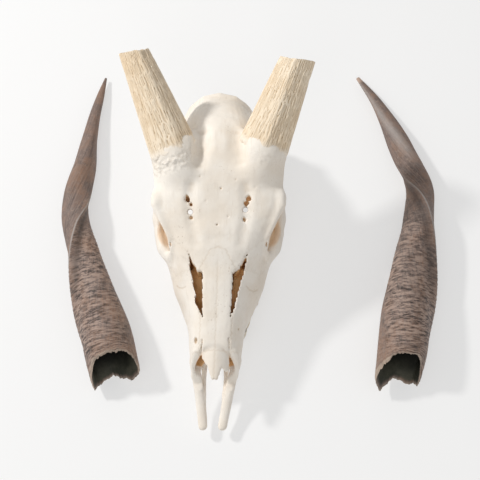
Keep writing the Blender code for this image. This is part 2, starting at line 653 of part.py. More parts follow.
def horn_core(name, spec):
    """Bare core: a little curved, grooved along, knobbly at its foot and sawn across at its end."""
    start, end, wide, narrow = (np.array(v, float) for v in spec)
    along = end - start
    start = start + along * 0.02
    rings = []
    for k in range(CORE_STEPS + 1):
        t = k / CORE_STEPS
        middle = start + (end - start) * t
        radius = wide + (narrow - wide) * t**0.9 + 1.0 * math.exp(-(t / 0.05)**2)
        rings.append((middle, radius))
    tangent, level, upright = frame_along([m for m, _ in rings])
    outward = math.copysign(1, start[0])
    out = []
    for k, (middle, radius) in enumerate(rings):
        ring = []
        for i in range(CORE_SIDES):
            a = 2 * math.pi * i / CORE_SIDES
            r = radius * (1 + 0.035 * math.sin(5 * a + 0.7) + 0.02 * math.sin(9 * a + 2.0))
            spot = middle + level[k] * math.cos(a) * r + upright[k] * math.sin(a) * r * 0.94
            if k == CORE_STEPS:
                spot = spot + tangent[k] * CORE_CUT * outward * (spot[0] - middle[0])
            ring.append(spot)
        out.append(np.array(ring))
    return swept(name, out)


def sheath_ring(row, level, upright, inner, rim, near):
    """Section of a sheath: rounded, flattened on three sides, keel on one corner. Near the mouth it
    takes on the shape of the broken edge."""
    y, x, z, width, keel = row
    ring = []
    for i in range(SHEATH_SIDES):
        a = 2 * math.pi * i / SHEATH_SIDES
        turn = a - math.radians(keel)
        turn = math.atan2(math.sin(turn), math.cos(turn))
        r = width / 2 * (0.96 + 0.045 * math.cos(3 * turn) + KEEL * math.exp(-(turn / 0.33)**2))
        r -= inner
        spot = np.array((x, y, z)) + level * math.cos(a) * r + upright * math.sin(a) * r
        edge = y + np.interp(math.degrees(a), *rim, period=360)
        spot[1] += (edge - spot[1]) * near
        ring.append(spot)
    return np.array(ring)


def horn_sheath(name, rows, rim):
    """Hollow horn: outside from the mouth to the tip, inside back from its bottom to the mouth."""
    places = np.linspace(0, 1, SHEATH_RINGS)
    keyed = [[k / (len(rows) - 1)] + list(r) for k, r in enumerate(rows)]
    outer = curve(keyed, places)
    depth = np.linspace(MOUTH_DEPTH, 0, int(SHEATH_RINGS * 0.55))
    inner = curve(keyed, depth)
    rings = []
    for table, at, walls in ((inner, depth, WALL * (1 - 0.25 * depth)), (outer, places, 0 * places)):
        path = table[:, [1, 0, 2]]
        _, level, upright = frame_along(path if table is outer else path[::-1])
        if table is inner:
            level, upright = level[::-1], upright[::-1]
        near = np.maximum(1 - at / RIM_REACH, 0)**2
        for row, wall, l, u, share in zip(table, walls, level, upright, near):
            rings.append(sheath_ring(row, l, u, wall, rim, share))
    obj = swept(name, rings)
    low = min(v.co.z for v in obj.data.vertices)
    for v in obj.data.vertices:
        v.co.z -= low
    return obj


def bend(y):
    """How far the muzzle has moved over at a place along the skull."""
    share = min(max((BEND_FROM - y) / (BEND_FROM - BEND_TO), 0), 1.1)
    return -BEND * share**1.3


def place(obj, shift, bent=False):
    """Into the part's frame, in metres, with its place in the mesh."""
    for v in obj.data.vertices:
        x, y, z = v.co
        over = bend(y) if bent else 0.0
        v.co = ((x + over + shift[0]) * MM, (y + shift[1]) * MM, z * MM)


def recentre():
    """Bring the middle of the whole part's footprint to the origin."""
    places = [v.co for obj in bpy.data.objects for v in obj.data.vertices]
    middle = [(min(p[k] for p in places) + max(p[k] for p in places)) / 2 for k in (0, 1)]
    for obj in bpy.data.objects:
        for v in obj.data.vertices:
            v.co.x -= middle[0]
            v.co.y -= middle[1]


def paint(obj, colour):
    material = bpy.data.materials.new(obj.name)
    material.use_nodes = True
    shader = material.node_tree.nodes["Principled BSDF"]
    shader.inputs["Base Color"].default_value = (*colour, 1)
    shader.inputs["Roughness"].default_value = 0.7
    material.diffuse_color = (*colour, 1)
    obj.data.materials.clear()
    obj.data.materials.append(material)


def main():
    for obj in list(bpy.data.objects):
        bpy.data.objects.remove(obj)
    whole = whole_skull()
    cores = [horn_core("horn_core_right", CORE_RIGHT), horn_core("horn_core_left", CORE_LEFT)]
    for core in cores:
        tool = copy_of(core, "tool")
        grow = tool.modifiers.new("grow", "DISPLACE")
        grow.strength, grow.mid_level = GAP * 1.6, 0.0
        baked(tool)
        boolean(whole, tool, "DIFFERENCE")
        drop(tool)
    bones = part_bones(tidy(whole))
    for name, obj in bones.items():
        obj.name = name
        place(obj, SKULL_AT, bent=True)
        paint(obj, BONE)
    for core in cores:
        place(core, SKULL_AT)
        paint(core, CREAM)
    for name, rows, rim in (("horn_sheath_right", SHEATH_RIGHT, RIM_RIGHT),
                            ("horn_sheath_left", SHEATH_LEFT, RIM_LEFT)):
        sheath = horn_sheath(name, rows, rim)
        place(sheath, SHEATH_AT)
        paint(sheath, HORN)
    recentre()


main()
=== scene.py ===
"""Dresses the packed bushbuck skull and its two loose horn sheaths for the photo's view.

Shapes are worked out in millimetres in the skull's own frame, as in the part's source, and placed in
metres in the part's frame. Left and right are the animal's: its left is +X, on the right of the picture.
"""
import math

import bmesh
import bpy
import numpy as np
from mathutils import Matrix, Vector


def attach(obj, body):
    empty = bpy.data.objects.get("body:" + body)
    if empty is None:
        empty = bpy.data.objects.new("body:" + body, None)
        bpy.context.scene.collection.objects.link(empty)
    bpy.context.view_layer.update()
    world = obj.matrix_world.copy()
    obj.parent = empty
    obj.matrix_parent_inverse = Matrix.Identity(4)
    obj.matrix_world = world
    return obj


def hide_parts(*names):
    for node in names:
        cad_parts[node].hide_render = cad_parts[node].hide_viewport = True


bl_info = {
    "name": "Bushbuck Skull Set",
    "version": (1, 0, 0),
    "blender": (4, 5, 0),
    "location": "View3D > Sidebar > Skull",
    "description": "Builds a dry antelope skull with bare horn cores and two loose horn sheaths",
    "category": "Add Mesh",
}

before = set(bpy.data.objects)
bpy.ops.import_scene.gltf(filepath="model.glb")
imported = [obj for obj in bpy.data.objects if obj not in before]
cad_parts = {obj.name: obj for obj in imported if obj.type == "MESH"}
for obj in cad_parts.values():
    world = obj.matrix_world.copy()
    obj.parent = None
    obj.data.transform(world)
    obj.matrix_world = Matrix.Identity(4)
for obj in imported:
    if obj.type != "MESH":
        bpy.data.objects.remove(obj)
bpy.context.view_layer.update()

MM = 0.001
FAR = 99.0
PIXEL, PICTURE, SENSOR = 0.00072, 480, 36.0   # metres to a pixel, pixels across, sensor in mm
SIGHT = 0.435             # how far the photo's line of sight goes back for each step down
FLOOR = 0.02              # lowest height of anything that stands on the floor
MIDDLE = (-0.259, -3.396)  # what brings the middle of the part's footprint to zero
SKULL_AT = (-21.6 + MIDDLE[0], -9.0 + MIDDLE[1])
SHEATH_AT = (-6.5 + MIDDLE[0], -13.0 + MIDDLE[1])
BEND_FROM, BEND_TO, BEND = -10.0, -133.0, 4.4   # the muzzle leans to the animal's right
CORE_CUT = 0.24           # lean of a core's cut end
RIM_REACH = 0.16          # share of a sheath over which the shape of its broken mouth fades

# Skull sections: y, then half-profile points (x, z) from the top middle round to the bottom middle.
FACE = [
    (-94, (0, 45.8), (7, 44.8), (13.2, 40), (16.6, 32), (15.2, 25), (11, 21), (6, 20), (0, 20)),
    (-82, (0, 49.4), (8.5, 48.2), (15.3, 42.5), (18.6, 33), (17, 24), (12, 19.5), (6, 18.5), (0, 18.5)),
    (-66, (0, 54.3), (10, 53), (16.8, 46.5), (20.2, 34), (19.5, 22), (14, 14.5), (7, 16.5), (0, 17)),
    (-54, (0, 58.2), (11.4, 56.6), (18.5, 49), (23.9, 34), (23.4, 18), (16, 12.5), (7, 16), (0, 17)),
    (-37, (0, 64.2), (12.5, 62.3), (23, 53), (31.4, 37), (29.6, 19), (19.5, 11.5), (8, 16), (0, 17)),
    (-26, (0, 68.2), (14, 66.4), (27, 57), (34, 37), (32, 20), (21, 11.5), (9, 16), (0, 17)),
    (-16, (0, 72), (15.5, 71), (28.5, 64), (33.5, 47), (31.5, 22), (21.5, 12), (10, 16.5), (0, 18)),
    (-5, (0, 76), (16, 75), (28, 66), (29, 50), (28, 26), (21.5, 13), (12, 17), (0, 20)),
    (4, (0, 76), (10, 74), (18, 62), (21, 48), (23, 28), (20, 16), (13, 18), (0, 24)),
]
ROOF = [
    (-34, (0, 60), (10, 59), (18, 56), (22, 53), (18, 50), (10, 50), (0, 50)),
    (-20, (0, 70.6), (14, 69.4), (24, 65), (28, 60), (22, 56), (12, 55), (0, 55)),
    (-8, (0, 75.3), (16, 75.2), (28.5, 72), (34, 66.5), (29, 61), (14, 58), (0, 58)),
    (4, (0, 80), (20, 80.2), (34, 78.2), (41.4, 73), (35, 67.5), (16, 62), (0, 62)),
    (14, (0, 84), (20, 83.8), (37, 81.7), (45.8, 76.6), (40, 70.5), (18, 66), (0, 66)),
    (26, (0, 88.6), (20, 87.8), (37, 84.6), (45.6, 78.6), (40, 71), (20, 68), (0, 68)),
    (40, (0, 92.6), (18, 93), (34, 91), (45, 82.5), (40, 72), (22, 68), (0, 68)),
    (52, (0, 94), (16, 94.4), (31, 92), (40, 82), (34, 72), (20, 68), (0, 68)),
    (61, (0, 91.6), (14, 91), (23, 87), (28, 80), (24, 70), (14, 66), (0, 66)),
]
BODY = [
    (-8, (0, 74), (12, 72), (21, 62), (22, 46), (20, 28), (15, 16), (8, 19), (0, 20)),
    (6, (0, 78), (12, 76), (19, 64), (17, 48), (14, 32), (12, 17), (7, 20), (0, 22)),
    (18, (0, 84), (14, 82), (19, 66), (14.5, 48), (11, 34), (9.5, 20), (5, 23), (0, 26)),
    (32, (0, 88), (16, 86), (24, 72), (22, 54), (16, 38), (9.5, 24), (5, 24), (0, 25)),
    (48, (0, 92), (16, 90), (26, 78), (29.5, 60), (25, 42), (14, 27), (6, 24), (0, 24)),
    (62, (0, 91), (15.5, 88.8), (25.5, 77), (30, 59), (28.5, 40), (16, 27), (7, 22), (0, 22)),
    (78, (0, 86.6), (13.8, 84.8), (23.2, 75), (28.4, 57), (28, 38), (17, 26), (8, 21), (0, 20)),
    (90, (0, 80), (11.8, 78.2), (20.4, 69), (26.4, 53), (27.5, 37), (17, 26), (8, 20), (0, 19)),
    (100, (0, 71.5), (10.4, 69.5), (17.8, 62), (23, 49), (23.4, 37), (15, 27), (8, 21), (0, 20)),
]
NOSE_HOLLOW = [
    (-110, (0, 43), (5, 42), (9.5, 38), (12.6, 32), (11.5, 27), (6, 24.5), (0, 24)),
    (-94, (0, 43), (6, 42), (10.5, 38), (13.8, 32), (12.5, 27), (6, 24.5), (0, 24)),
    (-80, (0, 46.8), (6, 45.6), (11.6, 40.5), (15.4, 33), (13.5, 27), (6, 24.5), (0, 24.5)),
    (-60, (0, 53), (8, 51.3), (13.8, 45), (18, 35), (15.5, 27), (8, 24), (0, 24)),
    (-40, (0, 59.8), (10, 57.8), (17.5, 50), (24.5, 38), (19, 28), (9, 25), (0, 25)),
    (-24, (0, 64.6), (11, 62.2), (20, 55), (26, 42), (18, 30), (9, 26), (0, 26)),
    (-8, (0, 66), (10, 64), (15.5, 54), (16.5, 42), (13, 32), (8, 27), (0, 27)),
    (4, (0, 58), (6, 56), (9, 50), (10, 42), (9, 34), (5, 29), (0, 28)),
]
# Cheek teeth of one side: y and x of the middle, length, width, lobes.
TEETH = [
    (-60.5, 17.4, 8.0, 7.5, 1), (-52.4, 19.0, 8.6, 9.0, 1), (-43.8, 20.8, 8.4, 10.5, 1),
    (-33.4, 23.2, 12.0, 12.4, 2), (-20.6, 25.0, 13.4, 13.2, 2), (-6.4, 24.6, 14.4, 12.4, 2),
]
CORES = {
    "right": ((-29.6, 44.0, 85.5), (-59.1, 107.4, 124.0), 18.0, 10.2),
    "left": ((29.6, 47.0, 85.5), (55.3, 103.7, 120.0), 18.4, 11.6),
}
# Sheath stations from mouth to tip: y, x, z, full width, angle of the keel from +X over the top.
SHEATHS = {
    "right": [
        (-90, -89.8, 20.0, 38.6, 236), (-75, -93.8, 20.2, 38.4, 222), (-60, -97.4, 20.0, 37.4, 210),
        (-44, -102.4, 19.4, 34.8, 196), (-26, -108.0, 18.4, 30.2, 176), (-5, -115.0, 17.4, 25.2, 146),
        (21, -123.0, 16.5, 22.4, 88), (41, -125.8, 15.0, 21.0, 32), (59, -125.4, 13.6, 20.0, 0),
        (82, -121.4, 11.6, 16.8, -30), (106, -118.6, 9.6, 12.0, -55), (126, -116.0, 7.8, 9.0, -75),
        (144, -112.8, 6.2, 6.2, -90), (161, -109.6, 5.0, 1.8, -100),
    ],
    "left": [
        (-90, 113.9, 19.6, 37.2, -58), (-78, 116.8, 19.8, 37.4, -48), (-64, 119.2, 20.0, 37.8, -38),
        (-45, 121.8, 20.0, 37.8, -22), (-24, 125.4, 19.4, 35.2, -2), (2, 130.4, 18.0, 29.4, 20),
        (20, 134.6, 16.8, 25.0, 42), (41, 137.8, 15.4, 23.0, 80), (57, 138.2, 14.4, 21.8, 125),
        (74, 134.4, 13.0, 19.2, 165), (89, 129.6, 12.0, 17.8, 195), (104, 124.2, 10.8, 16.4, 215),
        (122, 116.8, 8.8, 12.8, 235), (140, 108.6, 6.8, 8.4, 250), (161, 96.2, 5.2, 3.0, 262),
    ],
}
# The broken mouths: angles as above, and how far the edge is set back there (or stands out, below 0).
RIMS = {
    "right": ((0, 45, 90, 135, 160, 215, 260, 315), (0, 11, 11, 7, -1, -9, 2, -2)),
    "left": ((0, 45, 90, 135, 165, 215, 265, 325), (4, 9, 10, 5, -2, -11, 0, -6.6)),
}
NOSE_SLANT = ((-98.0, 27.0), (-86.5, 43.0))   # side edge of the nose opening, (y, z) low and high
# Free end of the nasal bones and the gap beside each, seen from above, as the photo shows them.
NASAL_END = [(-8.2, -76), (-8.6, -84), (-9.2, -89.5), (-7.8, -91.2), (-6.1, -94), (-4.7, -94.8),
             (-3.5, -99.2), (-2.0, -103.4), (-0.9, -105.2), (0.3, -103.6), (1.2, -104.4), (2.2, -105.2),
             (3.4, -101.6), (4.3, -97.8), (5.2, -96.2), (6.6, -97.4), (8.4, -98.5), (9.6, -97.6),
             (10.2, -92), (9.4, -86), (8.6, -76)]
GAPS = {
    -1: [(-20.8, -19.6), (-19.3, -31), (-17.2, -38.6), (-15.0, -48), (-15.4, -52.4), (-12.0, -58.4),
         (-9.4, -64.6), (-10.2, -50), (-10.5, -32.8), (-14.3, -32.2), (-15.5, -28.6), (-18.2, -26.6)],
    1: [(20.6, -20.6), (18.6, -31), (16.6, -37.4), (15.4, -42), (14.2, -48.5), (12.2, -57), (9.7, -64.2),
        (10.2, -50), (10.6, -34), (12.4, -32.6), (14.8, -30.4), (17.2, -26.8), (19.4, -22)],
}
CRACKS = [[(-29.4, -36.4), (-27.6, -38.6), (-24.6, -40.2), (-22.6, -40)],
          [(20.4, -40.4), (22.4, -41.8), (25.4, -41.6), (28.2, -39.4)]]
NASAL_TOP = [(-12.4, -31), (-5, -19.5), (0, -18), (5, -19.5), (12.4, -31), (12.2, -50), (11.0, -66),
             (11.0, -84), (10.6, -112), (-10.6, -112), (-11.0, -84), (-11.0, -66), (-12.2, -50)]
SEAMS_SIDE = {
    "premaxilla": [(-150, -5), (-150, 60), (-84, 60), (-86, 40), (-93, 30), (-90, 10), (-90, -5)],
    "frontal": [(-24, 110), (-27, 66), (-16, 60), (-6, 62), (10, 63.5), (30, 62), (58, 70), (66, 84),
                (66, 110)],
    "zygomatic": [(-22, 36), (-24, 46), (-14, 54.5), (4, 57), (32, 57), (36, 44), (43, 44), (43, 30),
                  (-10, 30)],
    "lacrimal": [(-30, 46), (-31, 64), (-20, 68), (0, 68), (0, 50), (-12, 44)],
    "occipital": [(90, 92), (94, 66), (84, 40), (86, -5), (130, -5), (130, 92)],
    "braincase": [(4, 92), (4, -5), (130, -5), (130, 92)],
}

# The order in which the bones take their share of the skull
BONES = ["nasal", "premaxilla", "frontal", "zygomatic", "lacrimal", "occipital", "braincase", "maxilla"]
UNPAIRED = ("occipital", "braincase")
LEFT = 20          # added to a bone's number on the animal's left


# Numbers
def curve(rows, at):
    """Smooth values between rows keyed by their first column."""
    rows = np.asarray(rows, float)
    keys, values = rows[:, 0], rows[:, 1:]
    slopes = np.gradient(values, keys, axis=0)
    at = np.clip(np.asarray(at, float), keys[0], keys[-1])
    i = np.clip(np.searchsorted(keys, at) - 1, 0, len(keys) - 2)
    span = (keys[i + 1] - keys[i])[:, None]
    t = (at - keys[i])[:, None] / span
    a, b = values[i], values[i + 1]
    ma, mb = slopes[i] * span, slopes[i + 1] * span
    return ((2 * t**3 - 3 * t**2 + 1) * a + (t**3 - 2 * t**2 + t) * ma
            + (3 * t**2 - 2 * t**3) * b + (t**3 - t**2) * mb)


def smooth(low, high, v):
    t = np.clip((v - low) / (high - low), 0, 1)
    return t * t * (3 - 2 * t)


class Noise:
    """Repeatable smooth noise in space, -1 to 1."""

    def __init__(self, seed, size=48):
        self.grid = np.random.default_rng(seed).random((size, size, size), dtype=np.float32) * 2 - 1
        self.size = size

    def at(self, points, scale):
        p = np.asarray(points, np.float32) / np.float32(scale)
        cell = np.floor(p).astype(int)
        t = p - cell
        t = t * t * (3 - 2 * t)
        a, b = cell % self.size, (cell + 1) % self.size
        out = 0
        for ix, wx in ((a, 1 - t), (b, t)):
            for iy, wy in ((a, 1 - t), (b, t)):
                for iz, wz in ((a, 1 - t), (b, t)):
                    w = wx[:, 0] * wy[:, 1] * wz[:, 2]
                    out = out + w * self.grid[ix[:, 0], iy[:, 1], iz[:, 2]]
        return out

    def layers(self, points, scale, count):
        return sum(self.at(points + 17.3 * k, scale / 2**k) / 2**k for k in range(count))


def closed_ring(half, parts=3):
    half = np.asarray(half, float)
    ring = np.vstack([half, half[-2:0:-1] * (-1, 1)])
    p0, p1 = np.roll(ring, 1, 0), ring
    p2, p3 = np.roll(ring, -1, 0), np.roll(ring, -2, 0)
    out = []
    for k in range(parts):
        t = k / parts
        out.append(0.5 * (2 * p1 + (p2 - p0) * t + (2 * p0 - 5 * p1 + 4 * p2 - p3) * t**2
                          + (3 * p1 - p0 - 3 * p2 + p3) * t**3))
    return np.stack(out, 1).reshape(-1, 2)


def inside_ring(x, z, ring):
    """Signed distance to a closed ring, negative inside."""
    best = np.full(np.broadcast(x, z).shape, FAR**2, np.float32)
    crossings = np.zeros(best.shape, bool)
    for (ax, az), (bx, bz) in zip(ring, np.roll(ring, -1, 0)):
        ex, ez = bx - ax, bz - az
        t = np.clip(((x - ax) * ex + (z - az) * ez) / (ex * ex + ez * ez + 1e-9), 0, 1)
        best = np.minimum(best, (x - ax - ex * t)**2 + (z - az - ez * t)**2)
        if az != bz:
            crossings ^= ((az > z) != (bz > z)) & (x < ax + (z - az) * ex / ez)
    return np.where(crossings, -1, 1) * np.sqrt(best)


# The skull as a field of distances
class Field:
    def __init__(self, axes, value=None):
        self.axes = [np.asarray(a, np.float32) for a in axes]
        self.value = np.full([len(a) for a in axes], FAR, np.float32) if value is None else value

    def window(self, low, high):
        cuts = tuple(slice(max(0, np.searchsorted(a, lo) - 1), np.searchsorted(a, hi) + 1)
                     for a, lo, hi in zip(self.axes, low, high))
        x, y, z = (a[c] for a, c in zip(self.axes, cuts))
        return cuts, x[:, None, None], y[None, :, None], z[None, None, :]

    def merge(self, shape, blend, cut=False):
        low, high, distance = shape
        reach = 2 * blend + 3
        cuts, x, y, z = self.window([v - reach for v in low], [v + reach for v in high])
        old = self.value[cuts]
        if not old.size:
            return
        side = 1 if cut else -1
        new = -side * distance(x, y, z)
        h = np.clip(0.5 + 0.5 * side * (new - old) / blend, 0, 1)
        self.value[cuts] = old + (new - old) * h + side * blend * h * (1 - h)

    def add(self, shape, blend=2.5):
        self.merge(shape, blend)

    def cut(self, shape, blend=0.8):
        self.merge(shape, blend, cut=True)

    def mirrored(self):
        x, y, z = self.axes
        keep = x > 1e-6
        right, value = x[keep], self.value[keep]
        middle = self.value[np.argmin(abs(x))][None]
        return Field([np.concatenate([-right[::-1], [0.0], right]), y, z],
                     np.concatenate([value[::-1], middle, value]))

    def at(self, points):
        """Value at each point, between the grid's own."""
        step = self.axes[1][1] - self.axes[1][0]
        g = (points - [a[0] for a in self.axes]) / step
        top = np.array(self.value.shape) - 2
        cell = np.clip(np.floor(g).astype(int), 0, top)
        t = np.clip(g - cell, 0, 1)
        out = 0
        for o in np.ndindex(2, 2, 2):
            w = np.prod(np.where(o, t, 1 - t), axis=1)
            out = out + w * self.value[tuple((cell + o).T)]
        return out


def loft(rows):
    keys = [r[0] for r in rows]
    table = [[r[0]] + [v for p in r[1:] for v in p] for r in rows]
    flat = np.array([p for r in rows for p in r[1:]])

    def distance(x, y, z):
        out = []
        places = y.ravel()
        for place, half in zip(places, curve(table, places)):
            d = inside_ring(x[:, 0], z[0], closed_ring(half.reshape(-1, 2)))
            past = max(keys[0] - place, place - keys[-1])
            out.append(np.hypot(np.maximum(d, 0), past) if past > 0 else np.maximum(d, past))
        return np.stack(out, 1)

    return ((0, keys[0], flat[:, 1].min()), (flat[:, 0].max(), keys[-1], flat[:, 1].max()), distance)


def ball(middle, radii):
    m, r = np.array(middle, float), np.array(radii, float)

    def distance(x, y, z):
        a, b, c = (x - m[0]) / r[0], (y - m[1]) / r[1], (z - m[2]) / r[2]
        k = np.sqrt(a * a + b * b + c * c)
        return k * (k - 1) / (np.sqrt((a / r[0])**2 + (b / r[1])**2 + (c / r[2])**2) + 1e-6)

    return m - r, m + r, distance


def rod(points, radii, squash=(1, 1, 1), rough=0.0):
    """Round bar through points; squash divides it along x, y, z; rough makes its wall ragged."""
    s = np.array(squash, float)
    p = np.array(points, float) * s
    r = np.broadcast_to(np.array(radii, float), (len(p),))

    def distance(x, y, z):
        wave = rough * (np.sin(x * 2.3 + y * 1.1) + np.sin(y * 2.9 - z * 1.7 + 1) + np.sin(z * 2.1 + x))
        x, y, z = x * s[0], y * s[1], z * s[2]
        best = FAR
        for a, b, ra, rb in zip(p[:-1], p[1:], r[:-1], r[1:]):
            e = b - a
            t = np.clip(((x - a[0]) * e[0] + (y - a[1]) * e[1] + (z - a[2]) * e[2]) / (e @ e), 0, 1)
            gap = np.sqrt((x - a[0] - e[0] * t)**2 + (y - a[1] - e[1] * t)**2
                          + (z - a[2] - e[2] * t)**2)
            best = np.minimum(best, gap - ra - (rb - ra) * t)
        return (best + wave) / s.max()

    reach = r.max() / s
    raw = np.array(points, float)
    return raw.min(0) - reach, raw.max(0) + reach, distance


def block(low, high, rounding=1.0):
    low, high = np.array(low, float), np.array(high, float)
    m, h = (low + high) / 2, (high - low) / 2 - rounding

    def distance(x, y, z):
        q = [abs(v - c) - e for v, c, e in zip((x, y, z), m, h)]
        outside = np.sqrt(sum(np.maximum(v, 0)**2 for v in q))
        return outside + np.minimum(np.maximum(np.maximum(q[0], q[1]), q[2]), 0) - rounding

    return low, high, distance


def slant(line):
    """All that lies in front of a leaning plane through two (y, z) places, low and high."""
    (y0, z0), (y1, z1) = line
    lean = (y1 - y0) / (z1 - z0)

    def distance(x, y, z):
        return (y - y0 - (z - z0) * lean) / math.hypot(1, lean) + 0 * x

    return (-30, y0 - 14, z0), (30, y1, z1 + 12), distance


def ragged(x, y):
    return 0.22 * (np.sin(x * 2.3 + y * 1.1) + np.sin(y * 2.9 - x * 1.7 + 1))


def ring_box(outline, low, high):
    p = np.array(outline, float)
    return (*p.min(0), low), (*p.max(0), high)


def sheet(outline, high, low, arch, thick):
    """Thin arched plate of bone. Its middle line runs from one (y, z) place to another."""
    fall = (high[1] - low[1]) / (high[0] - low[0])

    def distance(x, y, z):
        middle = low[1] + (y - low[0]) * fall - arch * x * x
        return np.maximum(inside_ring(x, y, outline) + 0.6 * ragged(x, y), abs(z - middle) - thick)

    return *ring_box(outline, low[1] - 8, high[1] + 2), distance


def gap_in_wall(outline):
    """Hole through the side wall of the nose, with a ragged edge; it goes less deep towards the front."""
    def distance(x, y, z):
        return np.maximum(inside_ring(x, y, outline) + 1.4 * ragged(x, y), 50 + 0.27 * (y + 31) - z)

    return *ring_box(outline, 41, 80), distance


def skull_hull(f):
    """Everything that is added before any hollow is cut."""
    f.add(loft(FACE), 2)
    f.add(loft(ROOF), 5)
    f.add(loft(BODY), 5)
    f.add(rod([(0.5, 50, 87.2), (0.5, 60, 87.2)], 17, (1, 1, 3.5)), 1.5)


def skull_forms(f):
    """Bars, rims, sockets and hollows that both sides share, as in the part's source."""
    f.add(rod([(14.4, -88, 28), (12.6, -97, 23), (10.8, -106, 18), (9.2, -115, 14.2), (7.8, -124, 11.6),
               (6.9, -130.2, 10.4)], [4.0, 3.8, 3.6, 3.6, 3.5, 3.4], (1, 1, 1.25)), 2)
    f.add(rod([(14.0, -98, 26), (14.2, -92, 34), (13.4, -85, 41.5)], [3.2, 2.8, 2.4], (1.2, 1, 1)), 2)
    f.cut(ball((41, 5.5, 60), (22.0, 14.5, 13.2)), 2)
    f.cut(ball((38, -4, 55.5), (19.0, 11.6, 11.0)), 2)
    f.cut(ball((28, 12, 55), (11.5, 14, 12)), 2)
    f.cut(rod([(28, 12, 54), (20, 22, 50)], [6, 3]), 2)
    f.add(rod([(30, -26, 38), (34.5, -17, 43.5), (40.4, -9, 45.5), (43.6, 2, 46), (44.4, 12, 46.5)],
              [4, 4.4, 4.2, 3.8, 3.8], (1.15, 1, 0.8)), 4)
    f.add(rod([(44.4, 12, 46.5), (44.6, 26, 47.5), (43, 40, 48), (38.5, 52, 46.5), (31, 62, 44)],
              [3.9, 3.3, 3.3, 4, 5], (1.25, 1, 0.8)), 3)
    f.add(rod([(43.5, 17, 77), (45.2, 21, 66), (45.2, 20, 56), (44.6, 16, 48)],
              [4.4, 3.2, 3.0, 3.6], (1.1, 0.85, 1)), 3)
    f.add(ball((30, 57, 39), (11, 7.5, 5)), 3)
    f.add(rod([(34.2, -16, 49), (32.6, -15.2, 57), (34.2, -8.5, 66.6), (39.6, 2, 73.6), (44.2, 11.5, 77.2)],
              [2.4, 1.9, 1.8, 1.9, 2.4]), 4)
    f.add(ball((33, -4, 45.5), (12, 14, 3.0)), 2)
    f.cut(rod([(20, 22, 89.5), (20, 8, 84.8), (19, -4, 80.4), (16.5, -17, 76.4)], 4), 3.5)
    f.add(rod([(0, 103.5, 68), (11, 102, 66), (20, 97.5, 59), (26.5, 91, 47), (28, 86, 37)], 3.0), 4)
    f.add(rod([(0, 60, 27), (0, 84, 24.5), (0, 100, 24)], [8.5, 8.5, 9.5], (1, 1, 1.3)), 3)
    f.add(ball((11, 103, 25.5), (8.0, 9.0, 10.5)), 3)
    f.add(rod([(23, 94, 34), (25.5, 93, 18), (25.0, 91, 3.2)], [6.0, 4.4, 3.2], (1, 0.9, 1)), 4)
    f.add(ball((18.5, 75, 19.5), (7.5, 11.5, 10.5)), 2.5)
    f.add(rod([(24, 77, 34), (32.5, 78, 36)], [6.0, 5.6]), 3)
    f.cut(rod([(27, 77.5, 35), (42, 79, 37)], 2.9), 1)
    f.cut(ball((0, 107, 38), (9.5, 17, 8.5)), 2)
    f.add(rod([(11.5, -2, 22), (10.5, 12, 20), (10, 26, 17), (10.4, 34, 15)], [3.4, 3.2, 2.8, 2.2],
              (1.6, 1, 0.8)), 3)
    f.cut(rod([(0, -14, 31), (0, 4, 26), (0, 22, 15), (0, 34, 6)], [9, 8.5, 8.2, 9], (1.15, 1, 1)), 1.5)
    f.cut(rod([(0, -66, 6), (0, -30, 5.5), (0, -6, 6)], [10, 12, 12.5], (0.85, 1, 1)), 3)
    f.cut(loft(NOSE_HOLLOW), 1.2)
    f.cut(rod([(0, -140, 18), (0, -124, 18), (0, -108, 20), (0, -99, 24), (0, -94, 26)],
              [4.2, 4.6, 6.4, 8.6, 10.4], (1, 1, 0.4)), 1.2)
    f.cut(slant(NOSE_SLANT), 1.2)
    f.add(rod([(8.0, -86, 20), (7.8, -97, 17.0), (6.9, -110, 13.8), (8.2, -119, 12.4)],
              [2.4, 1.5, 1.4, 1.8]), 1.2)
    a, b = (np.array(p) for p in CORES["left"][:2])
    along = (b - a) / np.linalg.norm(b - a)
    a = a - (0.2, 1.6, 0)
    radius = CORES["left"][2]
    f.add(rod([a - along * 7, a + along * 4.0], [radius - 2.2, radius - 1.1]), 7)
    f.add(ball((0, 53, 84), (10, 17, 9)), 5)


def septum_and_scrolls(f):
    """Thin bones inside the nose, seen through the gaps in its walls."""
    f.add(rod([(0, -84, 26), (0, -40, 30), (0, -6, 34)], [3, 5, 6], (3.2, 1, 1)), 0.8)
    f.add(rod([(11.5, -70, 33), (13, -50, 38), (13, -30, 44)], [1.6, 2.4, 3.2], (1.3, 1, 0.7)), 0.8)
    f.add(rod([(11.0, -66, 42), (13.0, -48, 46.5), (15.5, -30, 51.5)], [2.4, 3.6, 4.6], (1, 1, 0.8)), 0.8)


